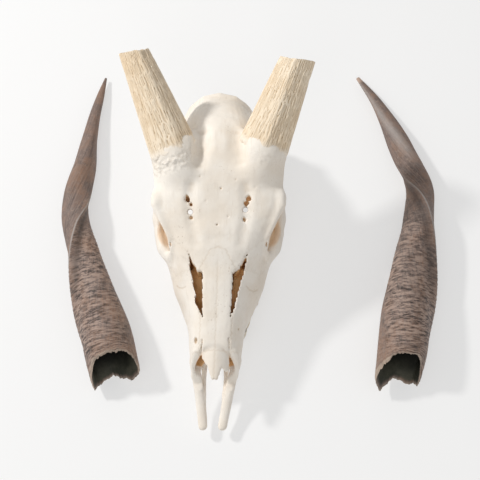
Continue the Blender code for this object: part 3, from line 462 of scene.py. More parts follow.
def one_sided_details(f):
    """Pits, holes, slits and broken edges, each where the photo has it."""
    f.add(sheet(NASAL_END, (-76, 48.4), (-105, 40.8), 0.05, 1.5), 1.0)
    for side, slit in ((-1, [(-8.9, -77, 48.5), (-9.6, -84, 46), (-10.6, -92, 42)]),
                       (1, [(9.2, -77, 48.5), (10.2, -86, 46), (11.4, -93, 42.5), (13.2, -98, 38)])):
        f.cut(gap_in_wall(GAPS[side]), 0.5)
        f.cut(rod(slit, [0.25, 0.6] + [0.9] * (len(slit) - 2), (1, 1, 0.3), 0.1), 0.5)
        f.cut(rod([(34.4 * side, -14, 70), (32.5 * side, -9, 50)], [0.6, 0.6], (1, 0.35, 1)), 0.5)
    f.cut(ball((-13.6, -77.6, 44.9), (1.3, 2.4, 2.4)), 0.6)
    f.cut(ball((16.0, -69.5, 46.0), (0.7, 1.1, 1.3)), 0.5)
    # furrows behind the brow, where the photo's sharp shadow falls
    f.cut(rod([(-11.5, 62, 94.4), (-11.5, 48, 96), (-13, 36, 95.4)], [4, 4.6, 3.6]), 5.5)
    f.cut(rod([(13.5, 60, 95.6), (13.5, 48, 97.8), (14, 38, 97.0)], [4, 4.6, 3.6]), 6)
    # broken edge in front of each eye
    for x, y, z, r in ((-31.6, -4.5, 60, (1.2, 1.0, 3.2)), (-30.0, -2.6, 61.5, (0.8, 0.9, 2.8)),
                       (-32.4, -8.4, 57, (1.0, 1.5, 3.4)), (-29.4, -6.4, 59.5, (0.6, 0.7, 2.6)),
                       (31.0, -9.0, 58, (1.0, 1.4, 3.0)), (29.6, -6.6, 59.5, (0.6, 0.7, 2.6))):
        f.cut(ball((x, y, z), r), 0.6)
    # holes above the eyes, drilled along the line of sight
    for x, y, z, lean in ((-19.5, 4.9, 80, -0.051), (18.9, 6.4, 80.5, 0.0055)):
        f.cut(rod([(x + lean * d, y + SIGHT * d, z - d) for d in (-4, 76)], 1.95), 0.5)
    for radius, squeeze, ends in ((1.7, 0.6, [(-21.8, 14.0, 86.0), (-21.3, 15.0, 77.0)]),
                                  (1.2, 1.0, [(-19.0, 9.6, 84.6), (-19.0, 11.4, 78.0)]),
                                  (1.3, 1.0, [(-19.2, 1.0, 81.0), (-19.2, 2.0, 76.6)]),
                                  (2.0, 1.0, [(21.6, 14.6, 87.0), (21.0, 14.6, 78.6)]),
                                  (2.0, 1.0, [(19.9, 11.4, 86.0), (19.6, 11.6, 78.0)]),
                                  (1.5, 0.8, [(18.2, -0.6, 81.6), (18.2, 0.6, 76.4)])):
        f.cut(rod(ends, radius, (1, squeeze, 1), 0.25), 0.6)
    for x, y, z, r in ((23.6, 17.8, 86.4, (1.2, 1.2, 1.6)), (25.6, 20.6, 86.6, (0.8, 1.1, 1.0)),
                       (27.6, 25.9, 87.4, (1.1, 1.5, 1.0)), (1.9, 20.2, 87.0, (0.6, 0.7, 1.4)),
                       (-0.9, -3.5, 77.0, (0.5, 0.7, 1.3)), (-8.6, 12.0, 83.6, (0.4, 0.5, 1.0)),
                       (12.2, 26.0, 89.0, (0.5, 0.5, 1.1)), (-12.8, 28.0, 90.0, (0.4, 0.6, 1.0)),
                       (6.8, 2.0, 79.6, (0.4, 0.5, 1.0))):
        f.cut(ball((x, y, z), r), 0.8)


def skull_fields(step):
    """The hull alone, and the finished skull."""
    axes = [np.arange(a, b + step, step) for a, b in ((-2 * step, 64), (-142, 122), (-3, 116))]
    f = Field(axes)
    skull_hull(f)
    hull = Field(f.axes, f.value.copy())
    skull_forms(f)
    septum_and_scrolls(f)
    full = f.mirrored()
    one_sided_details(full)
    return hull, full


def net(axes, value, label):
    """Quads between grid points of unlike label, where 0 is open air, with points drawn onto the surface.

    Returns the points, the quads, the label that owns each quad, and whether it is a hidden seam wall."""
    n = np.array(value.shape) - 1
    corner = [(i, j, k) for i in (0, 1) for j in (0, 1) for k in (0, 1)]
    low, high = np.full(n, 127, np.int8), np.zeros(n, np.int8)
    for i, j, k in corner:
        part = label[i:i + n[0], j:j + n[1], k:k + n[2]]
        low, high = np.minimum(low, part), np.maximum(high, part)
    cells = np.argwhere(low != high)
    index = np.full(n, -1)
    index[tuple(cells.T)] = np.arange(len(cells))
    total, hits = np.zeros((len(cells), 3)), np.zeros(len(cells))
    for a in corner:
        for axis in range(3):
            if a[axis]:
                continue
            b = list(a)
            b[axis] = 1
            va, vb = (value[tuple((cells + o).T)].astype(float) for o in (a, b))
            crossed = (va < 0) != (vb < 0)
            spot = np.array(a, float)[None] + np.zeros((len(cells), 3))
            spot[:, axis] += np.where(crossed, va / np.where(crossed, va - vb, 1), 0)
            total += spot * crossed[:, None]
            hits += crossed
    middle = np.where(hits[:, None] > 0, total / np.maximum(hits, 1)[:, None], 0.5)
    start = np.array([a[0] for a in axes])
    points = start + (cells + middle) * (axes[1][1] - axes[1][0])
    faces, owner, wall = [], [], []
    for axis in range(3):
        u, v = (axis + 1) % 3, (axis + 2) % 3
        here = [slice(1, -1)] * 3
        here[axis] = slice(0, -1)
        there = list(here)
        there[axis] = slice(1, None)
        a, b = label[tuple(here)], label[tuple(there)]
        unlike = a != b
        at = np.argwhere(unlike) + [0 if k == axis else 1 for k in range(3)]
        a, b = a[unlike], b[unlike]
        du, dv = np.eye(3, dtype=int)[u], np.eye(3, dtype=int)[v]
        quad = np.stack([index[tuple((at - s).T)] for s in (du + dv, dv, 0 * du, du)], 1)
        for mine, other, turned in ((a, b, quad), (b, a, quad[:, ::-1])):
            faces.append(turned[mine > 0])
            owner.append(mine[mine > 0])
            wall.append(other[mine > 0] > 0)
    return points, np.concatenate(faces), np.concatenate(owner), np.concatenate(wall)


def seam_wave(along):
    """Small teeth of a seam between two bones."""
    return 0.55 * np.sin(along * 1.9) + 0.4 * np.sin(along * 3.7 + 1.3) + 0.25 * np.sin(along * 0.7 + 0.4)


def bone_share(name, x, y, z):
    """How far a place is outside a bone's share of the skull."""
    if name == "nasal":
        return np.maximum(inside_ring(x, y, NASAL_TOP) + 0.45 * seam_wave(y), 34 - z)
    share = inside_ring(y, z, SEAMS_SIDE[name]) + 0.5 * seam_wave(x)
    if name == "zygomatic":
        share = np.maximum(share, 33.2 - abs(x))
    if name == "lacrimal":
        share = np.maximum(share, 18 - abs(x))
    return share


def midline_wave(y):
    return 0.25 * seam_wave(y * 0.8)


def bone_labels(f):
    """Number of the bone that holds each grid point, 0 in open air."""
    x, y, z = (a.reshape([-1 if k == n else 1 for k in range(3)]) for n, a in enumerate(f.axes))
    solid = f.value < 0
    label = np.zeros(f.value.shape, np.int8)
    for name in BONES[:-1]:
        label[solid & (label == 0) & (bone_share(name, x, y, z) < 0)] = BONES.index(name) + 1
    label[solid & (label == 0)] = len(BONES)
    paired = label > 0
    for name in UNPAIRED:
        paired &= label != BONES.index(name) + 1
    label[paired & (x + midline_wave(y) + 0 * z > 0)] += LEFT
    return label


def bone_name(label):
    name = BONES[(label - 1) % LEFT]
    return name if name in UNPAIRED else name + ("_left" if label > LEFT else "_right")


# Meshes
def edges_of(faces):
    size = faces.shape[1]
    return np.concatenate([faces[:, [k, (k + 1) % size]] for k in range(size)])


class Spread:
    """Means over each point's neighbours. A point without neighbours keeps its own value."""

    def __init__(self, count, faces):
        self.e, self.n = edges_of(faces), count
        self.weight = np.bincount(self.e[:, 0], minlength=count) + np.bincount(self.e[:, 1], minlength=count)

    def of(self, v):
        a, b = self.e.T
        total = np.bincount(a, v[b], self.n) + np.bincount(b, v[a], self.n)
        return np.where(self.weight > 0, total / np.maximum(self.weight, 1), v)

    def of_places(self, p):
        return np.stack([self.of(p[:, k]) for k in range(3)], 1)


def relax(points, faces, rounds, amount=0.5):
    """Even out the grid's steps."""
    spread = Spread(len(points), faces)
    for _ in range(rounds):
        points = points + amount * (spread.of_places(points) - points)
    return points


def normals_of(points, faces):
    a, b, c = (points[faces[:, k]] for k in (0, 1, 2))
    face = np.cross(b - a, c - a)
    out = np.zeros_like(points)
    for k in range(faces.shape[1]):
        for axis in range(3):
            out[:, axis] += np.bincount(faces[:, k], face[:, axis], len(points))
    return out / (np.linalg.norm(out, axis=1)[:, None] + 1e-9)


def hollow_of(points, faces, normals, rounds=6):
    """How hollow the surface is round each point: above zero in creases, below on ridges."""
    spread = Spread(len(points), faces)
    bend = ((spread.of_places(points) - points) * normals).sum(1)
    for _ in range(rounds):
        bend = spread.of(bend)
    return bend


def largest_mask(count, faces):
    """Which points belong to the biggest connected piece."""
    label = np.arange(count)
    e = edges_of(faces)
    while True:
        low = label.copy()
        np.minimum.at(low, e[:, 0], label[e[:, 1]])
        np.minimum.at(low, e[:, 1], label[e[:, 0]])
        low = low[low]
        if (low == label).all():
            return label == np.bincount(label[faces.ravel()]).argmax()
        label = low


def to_frame(points, shift, bent=False):
    """Into the part's frame, in metres. The muzzle leans over a little towards its tip."""
    x, y, z = points.T
    if bent:
        x = x - BEND * np.clip((BEND_FROM - y) / (BEND_FROM - BEND_TO), 0, 1.1)**1.3
    return np.stack([x + shift[0], y + shift[1], z], 1) * MM


def sharpen_rim(mesh, faces, wall):
    """Shade a bone's outside and its hidden seam walls apart."""
    n = len(mesh.vertices)

    def keys(pairs):
        pairs = np.sort(pairs, axis=1).astype(np.int64)
        return pairs[:, 0] * n + pairs[:, 1]

    own = np.zeros(len(mesh.edges) * 2, np.int32)
    mesh.edges.foreach_get("vertices", own)
    rim = np.intersect1d(keys(edges_of(faces[wall])), keys(edges_of(faces[~wall])))
    layer = mesh.attributes.new("sharp_edge", "BOOLEAN", "EDGE")
    layer.data.foreach_set("value", np.isin(keys(own.reshape(-1, 2)), rim))


def make_piece(name, points, faces, material, marks=None, nodes=(), wall=None):
    mesh = bpy.data.meshes.new(name)
    mesh.vertices.add(len(points))
    mesh.vertices.foreach_set("co", np.asarray(points, np.float32).ravel())
    size = faces.shape[1]
    mesh.loops.add(faces.size)
    mesh.loops.foreach_set("vertex_index", faces.astype(np.int32).ravel())
    mesh.polygons.add(len(faces))
    mesh.polygons.foreach_set("loop_start", np.arange(len(faces), dtype=np.int32) * size)
    mesh.polygons.foreach_set("loop_total", np.full(len(faces), size, np.int32))
    mesh.update(calc_edges=True)
    mesh.shade_smooth()
    if wall is not None and wall.any():
        sharpen_rim(mesh, faces, wall)
    for key, values in (marks or {}).items():
        layer = mesh.attributes.new(key, "FLOAT", "POINT")
        layer.data.foreach_set("value", np.asarray(values, np.float32))
    mesh.materials.append(material)
    obj = bpy.data.objects.new(name, mesh)
    bpy.context.scene.collection.objects.link(obj)
    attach(obj, "root")
    if nodes:
        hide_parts(*nodes)
    return obj


# Shader expressions
class Value:
    """A socket that takes part in sums."""

    def __init__(self, shader, socket):
        self.shader, self.socket = shader, socket

    def _do(self, operation, a, b):
        return self.shader.node("ShaderNodeMath", {"operation": operation}, {0: a, 1: b})[0]

    def __add__(self, o): return self._do("ADD", self, o)
    def __radd__(self, o): return self._do("ADD", o, self)
    def __sub__(self, o): return self._do("SUBTRACT", self, o)
    def __rsub__(self, o): return self._do("SUBTRACT", o, self)
    def __mul__(self, o): return self._do("MULTIPLY", self, o)
    def __rmul__(self, o): return self._do("MULTIPLY", o, self)

    def least(self, o): return self._do("MINIMUM", self, o)

    def step(self, low, high):
        return self.shader.node("ShaderNodeMapRange", {"interpolation_type": "SMOOTHSTEP"},
                                {0: self, 1: low, 2: high, 3: 0.0, 4: 1.0})[0]


class Shader:
    """A material under construction."""

    def __init__(self, name, roughness=0.6):
        self.material = bpy.data.materials.new(name)
        self.material.use_nodes = True
        self.tree = self.material.node_tree
        self.main = self.tree.nodes["Principled BSDF"]
        self.main.inputs["Roughness"].default_value = roughness
        self.main.inputs["Specular IOR Level"].default_value = 0.35
        self.place = self.node("ShaderNodeTexCoord")["Object"]

    def node(self, kind, settings=None, inputs=None):
        node = self.tree.nodes.new(kind)
        for key, value in (settings or {}).items():
            setattr(node, key, value)
        for key, value in (inputs or {}).items():
            if isinstance(value, Value):
                self.tree.links.new(value.socket, node.inputs[key])
            else:
                node.inputs[key].default_value = value
        return {**{k: Value(self, s) for k, s in enumerate(node.outputs)},
                **{s.name: Value(self, s) for s in reversed(node.outputs)}}

    def noise(self, scale, detail=3.0, rough=0.5, stretch=None, place=None, warp=0.0):
        where = place or self.place
        if stretch:
            where = self.node("ShaderNodeMapping", None, {"Vector": where, "Scale": stretch})[0]
        return self.node("ShaderNodeTexNoise", None, {"Vector": where, "Scale": scale, "Detail": detail,
                                                       "Roughness": rough, "Distortion": warp})[0]

    def cells(self, scale):
        return self.node("ShaderNodeTexVoronoi", None, {"Vector": self.place, "Scale": scale})["Distance"]

    def spot(self, x, y, z):
        return self.node("ShaderNodeCombineXYZ", None, {0: x, 1: y, 2: z})[0]

    def mark(self, name):
        return self.node("ShaderNodeAttribute", {"attribute_name": name})["Fac"]

    def mix(self, share, a, b):
        node = self.tree.nodes.new("ShaderNodeMix")
        node.data_type = "RGBA"
        for key, value in ((0, share), (6, a), (7, b)):
            if isinstance(value, Value):
                self.tree.links.new(value.socket, node.inputs[key])
            elif key:
                node.inputs[key].default_value = (*value, 1.0)
            else:
                node.inputs[key].default_value = value
        return Value(self, node.outputs[2])

    def finish(self, colour, roughness=None, bump=None, distance=0.0003, strength=1.0):
        link = self.tree.links.new
        link(colour.socket, self.main.inputs["Base Color"])
        if roughness is not None:
            link(roughness.socket, self.main.inputs["Roughness"])
        if bump is not None:
            out = self.node("ShaderNodeBump", None, {"Height": bump, "Distance": distance,
                                                      "Strength": strength})["Normal"]
            link(out.socket, self.main.inputs["Normal"])
        return self.material


def bone_finish(look):
    """Dry bone: chalky, warm in hollows, with hair cracks, pores and brown insides."""
    s = Shader("dry_bone")
    inner, hollow, rough_zone, seam = s.mark("inner"), s.mark("hollow"), s.mark("grain"), s.mark("seam")
    cloud = s.noise(38, 4, 0.55)
    patch = s.noise(95, 5, 0.6, warp=0.4)
    grain = s.noise(900, 4, 0.65)
    lines = s.noise(520, 3, 0.6, stretch=(1.0, 0.12, 0.5))
    colour = s.mix(cloud.step(0.35, 0.68), look.bone_pale, look.bone_warm)
    colour = s.mix(patch.step(0.56, 0.78) * 0.35, colour, look.bone_grey)
    colour = s.mix(lines.step(0.56, 0.72) * 0.16, colour, (0.60, 0.50, 0.38))
    pores = s.cells(520).step(0.30, 0.10) * s.noise(60, 2).step(0.56, 0.70)
    colour = s.mix(pores * 0.35, colour, (0.40, 0.29, 0.18))
    # painted shade: tan where the surface is hollow, in creases; the tan grain on the rough burr is the
    # bone's own
    colour = s.mix((hollow.step(0.002, 0.035) * 0.6 + rough_zone * grain.step(0.45, 0.7) * 0.3).least(1.0),
                   colour, look.stain_and_crease_shade)
    # tan along the open seams and cracks, the bone's own stain
    colour = s.mix(seam * 0.4, colour, look.stain_and_crease_shade)
    inside = (inner.step(0.10, 0.75) * (0.75 + 0.35 * patch)).least(1.0)
    deep = s.mix(patch.step(0.35, 0.65), look.inside, look.inside_dark)
    colour = s.mix(inside, colour, deep)
    rough = 0.52 + 0.25 * cloud + 0.1 * grain
    bump = grain * 0.35 + lines * 0.35 + patch * 0.5 - pores * 0.7 - seam * 0.8
    return s.finish(colour, rough, bump, 0.00035, 0.55)


def tooth_finish(look):
    s = Shader("cheek_tooth", 0.35)
    crown = s.mark("crown")
    stain = s.noise(160, 4, 0.6)
    colour = s.mix(stain.step(0.4, 0.7), (0.78, 0.70, 0.55), (0.50, 0.38, 0.22))
    colour = s.mix(crown.step(0.55, 0.95), colour, (0.22, 0.13, 0.06))
    return s.finish(colour, 0.3 + 0.3 * stain, s.noise(700, 3) * 0.6, 0.0003, 0.5)


def core_finish(look):
    """Bare core: cream, with brown in its long grooves and an earthy foot and end."""
    s = Shader("bare_core")
    hollow, end, foot = s.mark("hollow"), s.mark("end"), s.mark("foot")
    strand = s.mark("strand")
    cloud = s.noise(45, 4, 0.6)
    grain = s.noise(800, 4, 0.7)
    colour = s.mix(cloud.step(0.35, 0.7), look.core_pale, look.core_warm)
    colour = s.mix(strand.step(0.15, 0.9) * 0.36, colour, (0.54, 0.40, 0.24))
    # painted shade: brown where the surface is hollow, in the long grooves
    colour = s.mix(hollow.step(0.003, 0.022) * 0.75, colour, (0.46, 0.31, 0.16))
    colour = s.mix(foot * 0.75, colour, look.bone_pale)
    colour = s.mix(foot * s.noise(220, 4, 0.7).step(0.50, 0.70) * 0.4, colour, (0.50, 0.40, 0.28))
    colour = s.mix(end * 0.8, colour, (0.47, 0.33, 0.19))
    colour = s.mix(end * s.cells(260).step(0.34, 0.12), colour, (0.14, 0.08, 0.04))
    return s.finish(colour, 0.6 + 0.25 * grain, grain * 0.6 + cloud * 0.4, 0.0003, 0.6)


def horn_finish(look):
    """Weathered horn: dark, streaked along with rust and grey, banded across near its mouth."""
    s = Shader("weathered_horn", 0.45)
    along, side, front, inside = s.mark("along"), s.mark("side"), s.mark("front"), s.mark("inside")
    keel, ring, rim, ringed = s.mark("keel"), s.mark("ring"), s.mark("rim"), s.mark("ringed")
    place = s.spot(along * 16.0, side * 9.0, front * 9.0)
    strand = s.noise(1.0, 5, 0.65, place=place)
    strand2 = s.noise(3.4, 4, 0.6, place=place, warp=0.3)
    cloud = s.noise(48, 5, 0.65)
    speck = s.noise(420, 4, 0.7)
    colour = s.mix(strand.step(0.34, 0.60), look.horn_dark, look.horn_brown)
    colour = s.mix(cloud.step(0.42, 0.62) * 0.55, colour, look.horn_rust)
    colour = s.mix(strand2.step(0.42, 0.66) * 0.6, colour, look.horn_grey)
    colour = s.mix(speck.step(0.52, 0.70) * 0.5, colour, (0.36, 0.275, 0.23))
    # fine lines across the horn, broken and uneven, where it is ringed
    line = s.noise(1.0, 3, 0.6, place=s.spot(along * 190.0 + front * 2.2, side * 2.6, front * 2.6))
    colour = s.mix(ringed * line.step(0.48, 0.60) * 0.85, colour, (0.46, 0.34, 0.28))
    colour = s.mix(ringed * line.step(0.47, 0.37) * 0.9, colour, (0.034, 0.026, 0.024))
    colour = s.mix(ring.step(0.50, 0.95) * (0.15 + 0.7 * speck), colour, (0.42, 0.31, 0.26))
    colour = s.mix(ringed * ring.step(0.28, 0.05) * 0.85, colour, (0.026, 0.020, 0.018))
    # painted shade on the ringed face beside the keel
    colour = s.mix(s.mark("shade") * 0.6, colour, (0.050, 0.040, 0.037))
    # pale grey streak on the upper face of the left sheath: a painted highlight together with wear
    colour = s.mix(s.mark("worn") * (0.35 + 0.5 * speck), colour, (0.43, 0.39, 0.37))
    colour = s.mix((keel.step(0.35, 0.95) * (0.35 + 0.6 * speck)).least(1.0), colour, (0.42, 0.39, 0.37))
    colour = s.mix(s.mark("tip") * 0.85, colour, (0.55, 0.40, 0.32))
    colour = s.mix(rim.step(0.35, 1.0) * (0.3 + 0.6 * speck), colour, (0.50, 0.41, 0.33))
    # inside: mould colour at the mouth; deeper in, painted shade, almost black
    mould = s.mix(cloud.step(0.4, 0.7), (0.040, 0.042, 0.028), (0.11, 0.105, 0.075))
    colour = s.mix(inside, colour, s.mix(along.step(0.0, 0.09), mould, (0.006, 0.005, 0.004)))
    rough = 0.42 + 0.25 * strand2 + 0.15 * cloud
    bump = strand * 0.5 + strand2 * 0.4 + speck * 0.5 + ringed * line * 1.2
    return s.finish(colour, rough, bump, 0.0005, 0.6)


# Pieces
def skull_pieces(look):
    """All bones are worked on as one surface and only then parted, so nothing gapes between them."""
    hull, full = skull_fields(look.grid * 1000)
    lumps, grit = Noise(11), Noise(12)
    points, faces, owner, wall = net(full.axes, full.value, bone_labels(full))
    keep = largest_mask(len(points), faces[~wall])
    outer = faces[~wall & keep[faces].all(1)]
    points = relax(points, outer, 2, 0.45)
    normals = normals_of(points, outer)
    inner = inner_bone(points, hull)
    grain = burr_zone(points)
    # how hollow each place is; the bone finish paints tan shade into the creases from it
    hollow = hollow_of(points, outer, normals)
    push = 0.16 * lumps.layers(points, 9.0, 3) + 0.05 * grit.layers(points, 2.2, 2)
    push = push + grain * 0.9 * np.maximum(grit.layers(points + 5, 2.6, 2), -0.3)
    points = points + normals * push[:, None]
    points[:, 2] = np.maximum(points[:, 2] - 0.3, FLOOR)
    marks = {"inner": inner, "hollow": hollow, "grain": grain, "seam": open_seams(points)}
    material = bone_finish(look)
    placed = to_frame(points, SKULL_AT, bent=True)
    dead = np.zeros(len(points), bool)
    dead[faces[~wall]] = True
    dead &= ~keep
    for number in np.unique(owner):
        mine = (owner == number) & ~dead[faces].any(1)
        used, local = np.unique(faces[mine], return_inverse=True)
        name = bone_name(number)
        make_piece(name + "_bone", placed[used], local.reshape(-1, 4), material,
                   {k: v[used] for k, v in marks.items()}, (name,), wall[mine])


def inner_bone(points, hull):
    """Share of the brown inner colour: deep below the hull or in a socket, but not on the open roof."""
    x, y, z = points.T
    x = abs(x)
    inner = smooth(1.6, 5.0, -hull.at(np.stack([x, y, z], 1))) * smooth(-104, -94, y) * smooth(16, 24, z)
    inner = inner * (1 - smooth(18, 28, y) * smooth(62, 72, z)) * (1 - smooth(0, -4, y) * smooth(70, 74, z))
    inner = inner * (1 - 0.45 * smooth(-6, 0, y) * smooth(70, 74, z))
    socket = np.sqrt(((x - 34) / 13)**2 + ((y - 2) / 15)**2 + ((z - 58) / 15)**2)
    return np.maximum(inner * (1 - smooth(1.5, 1.0, socket)), 0.42 * smooth(1.12, 0.86, socket))


def open_seams(points):
    """Share of an open seam or crack at each point, only where the photo shows one."""
    x, y, z = points.T
    near = np.zeros(len(points))
    for name, width, share in (("nasal", 0.5, 0.6), ("premaxilla", 0.5, 0.6), ("lacrimal", 0.45, 0.25),
                               ("zygomatic", 0.4, 0.25)):
        near = np.maximum(near, share * np.exp(-(bone_share(name, x, y, z) / width)**2))
    middle = np.exp(-((x + midline_wave(y)) / 0.45)**2) * smooth(-20, -34, y) * (z > 38)
    near = np.maximum(near, middle * 0.6)
    for line in CRACKS:
        for a, b in zip(np.array(line[:-1]), np.array(line[1:])):
            t = np.clip(((x - a[0]) * (b - a)[0] + (y - a[1]) * (b - a)[1]) / ((b - a) @ (b - a)), 0, 1)
            gap = np.hypot(x - a[0] - (b - a)[0] * t, y - a[1] - (b - a)[1] * t)
            near = np.maximum(near, 0.9 * np.exp(-(gap / 0.4)**2) * (z > 34))
    return near


def burr_zone(points):
    """Share of roughness near the foot of each core, strongest on the front of the right one."""
    out = np.zeros(len(points))
    for start, end, radius, _ in CORES.values():
        a, b = np.array(start), np.array(end)
        along = (b - a) / np.linalg.norm(b - a)
        t = (points - a) @ along
        off = points - a - t[:, None] * along
        strong = 1.0 if start[0] < 0 else 0.35
        ring = smooth(9, 1, abs(t + 1)) * smooth(radius + 8, radius + 1, np.linalg.norm(off, axis=1))
        out = np.maximum(out, ring * strong * (0.35 + 0.65 * smooth(4, -8, off[:, 1])))
    return out


def tooth_pieces(look):
    """Each cheek tooth: one or two half-moon lobes with ribbed sides and a worn, pitted crown."""
    material = tooth_finish(look)
    for side, sign in (("right", -1), ("left", 1)):
        axes = [np.arange(a, b, 0.42) for a, b in ((8, 36), (-68, 4), (-0.6, 17))]
        f = Field(axes)
        for y, x, length, width, lobes in TEETH:
            lobe = length / lobes
            for k in range(lobes):
                m = y - length / 2 + lobe * (k + 0.5)
                f.add(rod([(x, m, 16), (x - 0.4, m, 1.0)], [width / 2 + 0.1, width / 2 - 0.3],
                          (1, width / lobe * 0.98, 1)), 0.5)
                f.add(rod([(x + width / 2 - 0.2, m, 15), (x + width / 2 - 0.8, m, 1)], [0.8, 0.5]), 0.8)
                f.cut(rod([(x - 0.6, m - lobe * 0.22, 0), (x + 0.5, m, 0), (x - 0.6, m + lobe * 0.22, 0)],
                          [0.8, 1.1, 0.8], (1, 1, 0.8)), 0.4)
        f.cut(block((0, -80, -20), (60, 20, 0.1), 0.02), 0.2)
        points, faces, _, _ = net(f.axes, f.value, (f.value < 0).astype(np.int8))
        points = relax(points, faces, 1)
        crown = smooth(3.2, 0.2, points[:, 2])
        points[:, 2] = np.maximum(points[:, 2], FLOOR)
        points[:, 0] *= sign
        if sign < 0:
            faces = faces[:, ::-1]
        make_piece(f"cheek_teeth_{side}", to_frame(points, SKULL_AT, bent=True), faces, material,
                   {"crown": crown})


def frame_along(path):
    tangent = np.gradient(path, axis=0)
    tangent /= np.linalg.norm(tangent, axis=1)[:, None]
    level = np.cross(tangent, (0, 0, 1))
    level /= np.linalg.norm(level, axis=1)[:, None]
    return tangent, level, np.cross(level, tangent)


def swept(path, level, upright, angle, radius, flat=1.0):
    """Points of a tube: at each place of its path a ring of the given radius."""
    return (path[:, None] + level[:, None] * (np.cos(angle) * radius)[..., None]
            + upright[:, None] * (np.sin(angle) * radius * flat)[..., None])


def wrapped(noise, angle, size, along, scale):
    """Noise that meets itself round a tube: size sets how much of it fits round."""
    spots = np.stack([np.cos(angle) * size, np.sin(angle) * size, along + 0 * angle], -1)
    return noise.at(spots.reshape(-1, 3), scale).reshape(angle.shape)


def tube_faces(rings, sides):
    """Quads round a run of rings, open at both ends."""
    r, i = np.meshgrid(np.arange(rings - 1), np.arange(sides), indexing="ij")
    j = (i + 1) % sides
    quads = np.stack([r * sides + i, r * sides + j, (r + 1) * sides + j, (r + 1) * sides + i], -1)
    return quads.reshape(-1, 4)


def capped(points, faces, rings, sides):
    """Close both ends with a fan round a middle point."""
    first, last = points[:sides].mean(0), points[-sides:].mean(0)
    n = len(points)
    i = np.arange(0, sides, 2)
    j, k = (i + 1) % sides, (i + 2) % sides
    a = np.stack([np.full(len(i), n), k, j, i], 1)
    base = (rings - 1) * sides
    b = np.stack([np.full(len(i), n + 1), base + i, base + j, base + k], 1)
    return np.vstack([points, first, last]), np.concatenate([faces, a, b])


def core_pieces(look):
    """Bare cores: a tapering tube with cords, flutes and pits, a cut end and a foot that dives into bone."""
    material = core_finish(look)
    rings, sides = 250, 280
    end_steps = ((0.93, 0.1), (0.85, 0.9), (0.6, 1.5), (0.3, 1.8))   # share of the rim's width, depth
    for side, (start, end, wide, narrow) in CORES.items():
        noise = Noise(31 if side == "left" else 37)
        a, b = np.array(start), np.array(end)
        t = np.linspace(0, 1, rings)
        path = a + (b - a) * (0.02 + 0.98 * t)[:, None]
        tangent, level, upright = frame_along(path)
        angle = np.linspace(0, 2 * math.pi, sides, endpoint=False)
        T, A = np.meshgrid(t, angle, indexing="ij")

        def bark(size, length, scale):
            return wrapped(noise, A, size, T * length + size, scale)

        # fine cords of bone that split and join, on broad flutes
        sway = 0.35 * bark(5, 6, 1.0)
        cords = 1 - abs(bark(10, 3.6, 0.42) + 0.3 * bark(10, 9, 0.42) + 0.3 * sway)
        flutes = bark(9, 3.0, 2.2)
        pits = bark(18, 44, 0.8)
        body = wide + (narrow - wide) * T**0.9
        free = smooth(0.015, 0.13, T + 0.05 * sway)
        foot = np.exp(-(T / 0.09)**2) * (0.25 + 0.75 * smooth(0.3, -0.7, np.sin(A)))
        lumps = bark(14, 64, 2.6) + 0.5 * bark(14, 64, 1.3)
        radius = (body * (1 + free * (0.03 * np.sin(5 * A + 0.7) + 0.018 * np.sin(9 * A + 2)))
                  - free * (0.42 * smooth(0.9, 0.55, cords) + 0.4 * flutes + 0.3 * smooth(0.5, 0.8, pits))
                  + foot * (1.5 if side == "right" else 0.4) * np.maximum(lumps, -0.35))
        # the foot draws in and dives into the bone that carries it, along a wavy line
        radius = radius - 4.2 * smooth(0.085, 0.0, T + 0.03 * sway + 0.02 * flutes)**1.5
        points = swept(path, level, upright, A, radius, 0.94)
        broken = 0.8 * wrapped(noise, angle, 6, 0, 2.2)
        lean = CORE_CUT * math.copysign(1, start[0]) * (points[..., 0] - path[:, None, 0])
        slide = lean * np.clip((T - 0.86) / 0.14, 0, 1) + broken[None] * smooth(0.985, 1.0, T)
        points = (points + tangent[:, None] * slide[..., None]).reshape(-1, 3)
        lip = points[-sides:]
        middle = lip.mean(0)
        points = np.vstack([points] + [middle + (lip - middle) * share - tangent[-1] * sink
                                       for share, sink in end_steps])
        rows = rings + len(end_steps)
        points, faces = capped(points, tube_faces(rows, sides), rows, sides)
        faces = turned_out(points, faces)
        strand = free * (smooth(0.92, 0.6, cords) * 0.75 + 0.25 * smooth(-0.2, 0.7, flutes))
        marks = {"strand": strand, "foot": smooth(0.15, 0.04, T + 0.05 * sway), "end": T * 0}
        for key, values in marks.items():
            last = float(key == "end")
            marks[key] = np.concatenate([values.ravel(), np.full(len(end_steps) * sides, last), [0.0, last]])
        # how hollow each place is, for the painted shade in the grooves
        marks["hollow"] = hollow_of(points, faces, normals_of(points, faces), 3)
        make_piece(f"horn_core_{side}_bare", to_frame(points, SKULL_AT), faces, material,
                   marks, (f"horn_core_{side}",))


def turned_out(points, faces):
    """Faces turned so that the closed shape has its outside out."""
    a, b, c, d = (points[faces[:, k]] for k in range(4))
    volume = (a * np.cross(b, c)).sum() + (a * np.cross(c, d)).sum()
    return faces[:, ::-1] if volume < 0 else faces


def sheath_path(rows, outer_rings, inner_rings, depth):
    """Evenly spaced shares of the way along a sheath, for its outside and its inside, and its table."""
    keyed = [[k / (len(rows) - 1)] + list(r) for k, r in enumerate(rows)]
    table = curve(keyed, np.linspace(0, 1, 200))
    length = np.concatenate([[0], np.cumsum(np.linalg.norm(np.diff(table[:, :3], axis=0), axis=1))])
    even = np.interp(np.linspace(0, length[-1], outer_rings), length, np.linspace(0, 1, 200))
    share = np.linspace(0, 1, outer_rings)
    inner = np.interp(np.linspace(depth, 0, inner_rings), even, share)
    return keyed, [("inside", inner, np.interp(inner, share, even)),
                   ("outside", share, np.interp(share, share, even))]


